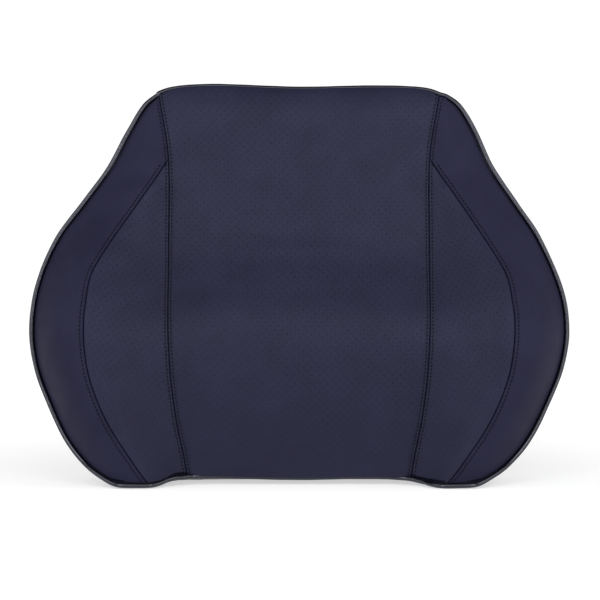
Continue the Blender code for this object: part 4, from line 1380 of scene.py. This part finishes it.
def metal_skin():
    m = Nodes("zip_gunmetal")
    scuff = m.noise(700, 5, 0.7)
    shine = m.ramp(scuff, 0.45, 0.75)
    m.link("Base Color", m.mix_colour(shine, (0.05, 0.05, 0.055), (0.16, 0.155, 0.15)))
    m.link("Metallic", 0.95)
    m.link("Roughness", m.ramp(scuff, 0.3, 0.7, 0.24, 0.42))
    m.link("Normal", m.bump(scuff, 0.15, 0.00008))
    return m.material


# name, dark and light colour, roughness, specular, grain
LEATHERS = {
    "smooth": ((0.0133, 0.0128, 0.0284), (0.0171, 0.0166, 0.0364), 0.52, 0.05, 0.35),
    "perforated": ((0.0118, 0.0120, 0.0270), (0.0152, 0.0154, 0.0342), 0.50, 0.13, 0.35),
    "piping": ((0.0014, 0.0014, 0.0030), (0.0024, 0.0024, 0.0050), 0.22, 0.68, 0.05),
    "boxing": ((0.0105, 0.0104, 0.0235), (0.0138, 0.0137, 0.0300), 0.48, 0.15, 0.35),
}


def make_materials():
    made = {key: leather(f"{key}_leather_skin", *values) for key, values in LEATHERS.items()}
    made["thread"] = thread_skin_with_painted_hole_shade()
    made["back"] = weave("back_fabric_weave", (0.006, 0.006, 0.009), (0.022, 0.022, 0.028), 620, 0.8)
    made["tape"] = weave("zip_tape_weave", (0.004, 0.004, 0.006), (0.014, 0.014, 0.018), 1100, 0.8)
    made["web"] = weave("strap_webbing_weave", (0.004, 0.004, 0.005), (0.018, 0.018, 0.022), 420, 0.75, 0.7)
    made["liner"] = weave("liner_cloth_weave", (0.020, 0.020, 0.023), (0.045, 0.045, 0.050), 700, 0.9)
    made["foam"] = foam_skin()
    made["nylon"] = nylon_skin()
    made["plastic"] = plastic_skin()
    made["metal"] = metal_skin()
    return made


# ---------------- stage, light and camera

def area(name, place_at, aim, width, height, power):
    """Rectangular light that faces the point aim."""
    light = bpy.data.lights.new(name, "AREA")
    light.shape = "RECTANGLE"
    light.size, light.size_y = width, height
    light.energy = power
    obj = bpy.data.objects.new(name, light)
    obj.location = place_at
    obj.rotation_euler = (Vector(aim) - Vector(place_at)).to_track_quat("-Z", "Y").to_euler()
    bpy.context.scene.collection.objects.link(obj)


FLOOR_HALF = 4.0
FLOOR_Z = -0.0006


def build_floor():
    """White paper that glows more away from the cushion."""
    floor = bpy.data.meshes.new("studio_floor")
    corners = [(x * FLOOR_HALF, y * FLOOR_HALF, FLOOR_Z) for x, y in ((-1, -1), (1, -1), (1, 1), (-1, 1))]
    floor.from_pydata(corners, [], [(0, 1, 2, 3)])
    m = Nodes("studio_floor_paper")
    m.link("Base Color", m.mix_colour(m.noise(300, 2), (0.60, 0.60, 0.60), (0.63, 0.63, 0.63)))
    m.link("Roughness", 0.9)
    m.link("Specular IOR Level", 0.1)
    m.link("Emission Color", (1, 1, 1, 1))
    across = m.add("ShaderNodeVectorMath", {0: m.coords}, operation="LENGTH").outputs["Value"]
    m.link("Emission Strength", m.ramp(across, 0.25, 1.1, 0.56, 0.90))
    floor.materials.append(m.material)
    obj = bpy.data.objects.new("studio_floor", floor)
    bpy.context.scene.collection.objects.link(obj)


def build_world():
    """White behind the cushion for the camera, a pale band at the horizon and darker above."""
    world = bpy.data.worlds.new("studio")
    world.use_nodes = True
    tree = world.node_tree
    background = tree.nodes["Background"]
    coords = tree.nodes.new("ShaderNodeTexCoord")
    split = tree.nodes.new("ShaderNodeSeparateXYZ")
    tree.links.new(coords.outputs["Generated"], split.inputs[0])
    brighter = tree.nodes.new("ShaderNodeMath")
    brighter.operation = "MAXIMUM"
    for k, (axis, limits) in enumerate((("Y", (0.90, 0.955, 0.22, 1.05)), ("Z", (0.0, 0.4, 0.60, 0.22)))):
        ramp = tree.nodes.new("ShaderNodeMapRange")
        tree.links.new(split.outputs[axis], ramp.inputs["Value"])
        for socket, value in zip(("From Min", "From Max", "To Min", "To Max"), limits):
            ramp.inputs[socket].default_value = value
        tree.links.new(ramp.outputs["Result"], brighter.inputs[k])
    tree.links.new(brighter.outputs[0], background.inputs["Strength"])
    background.inputs["Color"].default_value = (1, 1, 1, 1)
    bpy.context.scene.world = world


def build_lights():
    middle = (0, 0, 0.16)
    area("key_softbox", (0.0, -1.7, 1.15), middle, 1.5, 0.9, 12)
    area("left_strip_light", (-0.66, -1.3, 0.42), middle, 0.16, 1.1, 6)
    area("right_strip_light", (0.66, -1.3, 0.42), middle, 0.16, 1.1, 6)
    area("left_softbox", (-1.4, -0.5, 0.85), middle, 1.3, 1.3, 9)
    area("right_softbox", (1.4, -0.5, 0.85), middle, 1.3, 1.3, 10.5)


def build_camera():
    camera = bpy.data.cameras.new("camera")
    camera.lens = 91.7
    camera.sensor_width = 36
    camera.clip_start, camera.clip_end = 0.05, 50
    obj = bpy.data.objects.new("camera", camera)
    obj.location = (0.0008, -1.2545, 0.1499)
    obj.rotation_euler = (math.pi / 2, 0, 0)
    bpy.context.scene.collection.objects.link(obj)
    bpy.context.scene.camera = obj
    bpy.context.scene.view_settings.view_transform = "Standard"


build_camera()
build_floor()
build_world()
build_lights()
skins = make_materials()
build_front(skins["smooth"], skins["perforated"])
front_stitches(skins["thread"])
build_piping(skins["piping"])
build_gussets(skins["boxing"], skins["thread"])
build_back(skins["back"])
back_stitches(skins["thread"])
build_zip(skins["tape"], skins["nylon"])
build_strap(skins["web"], skins["boxing"], skins["thread"])
build_keeper(skins["web"])
build_padding(skins["foam"], skins["liner"])
finish_hardware(skins["plastic"], skins["metal"])
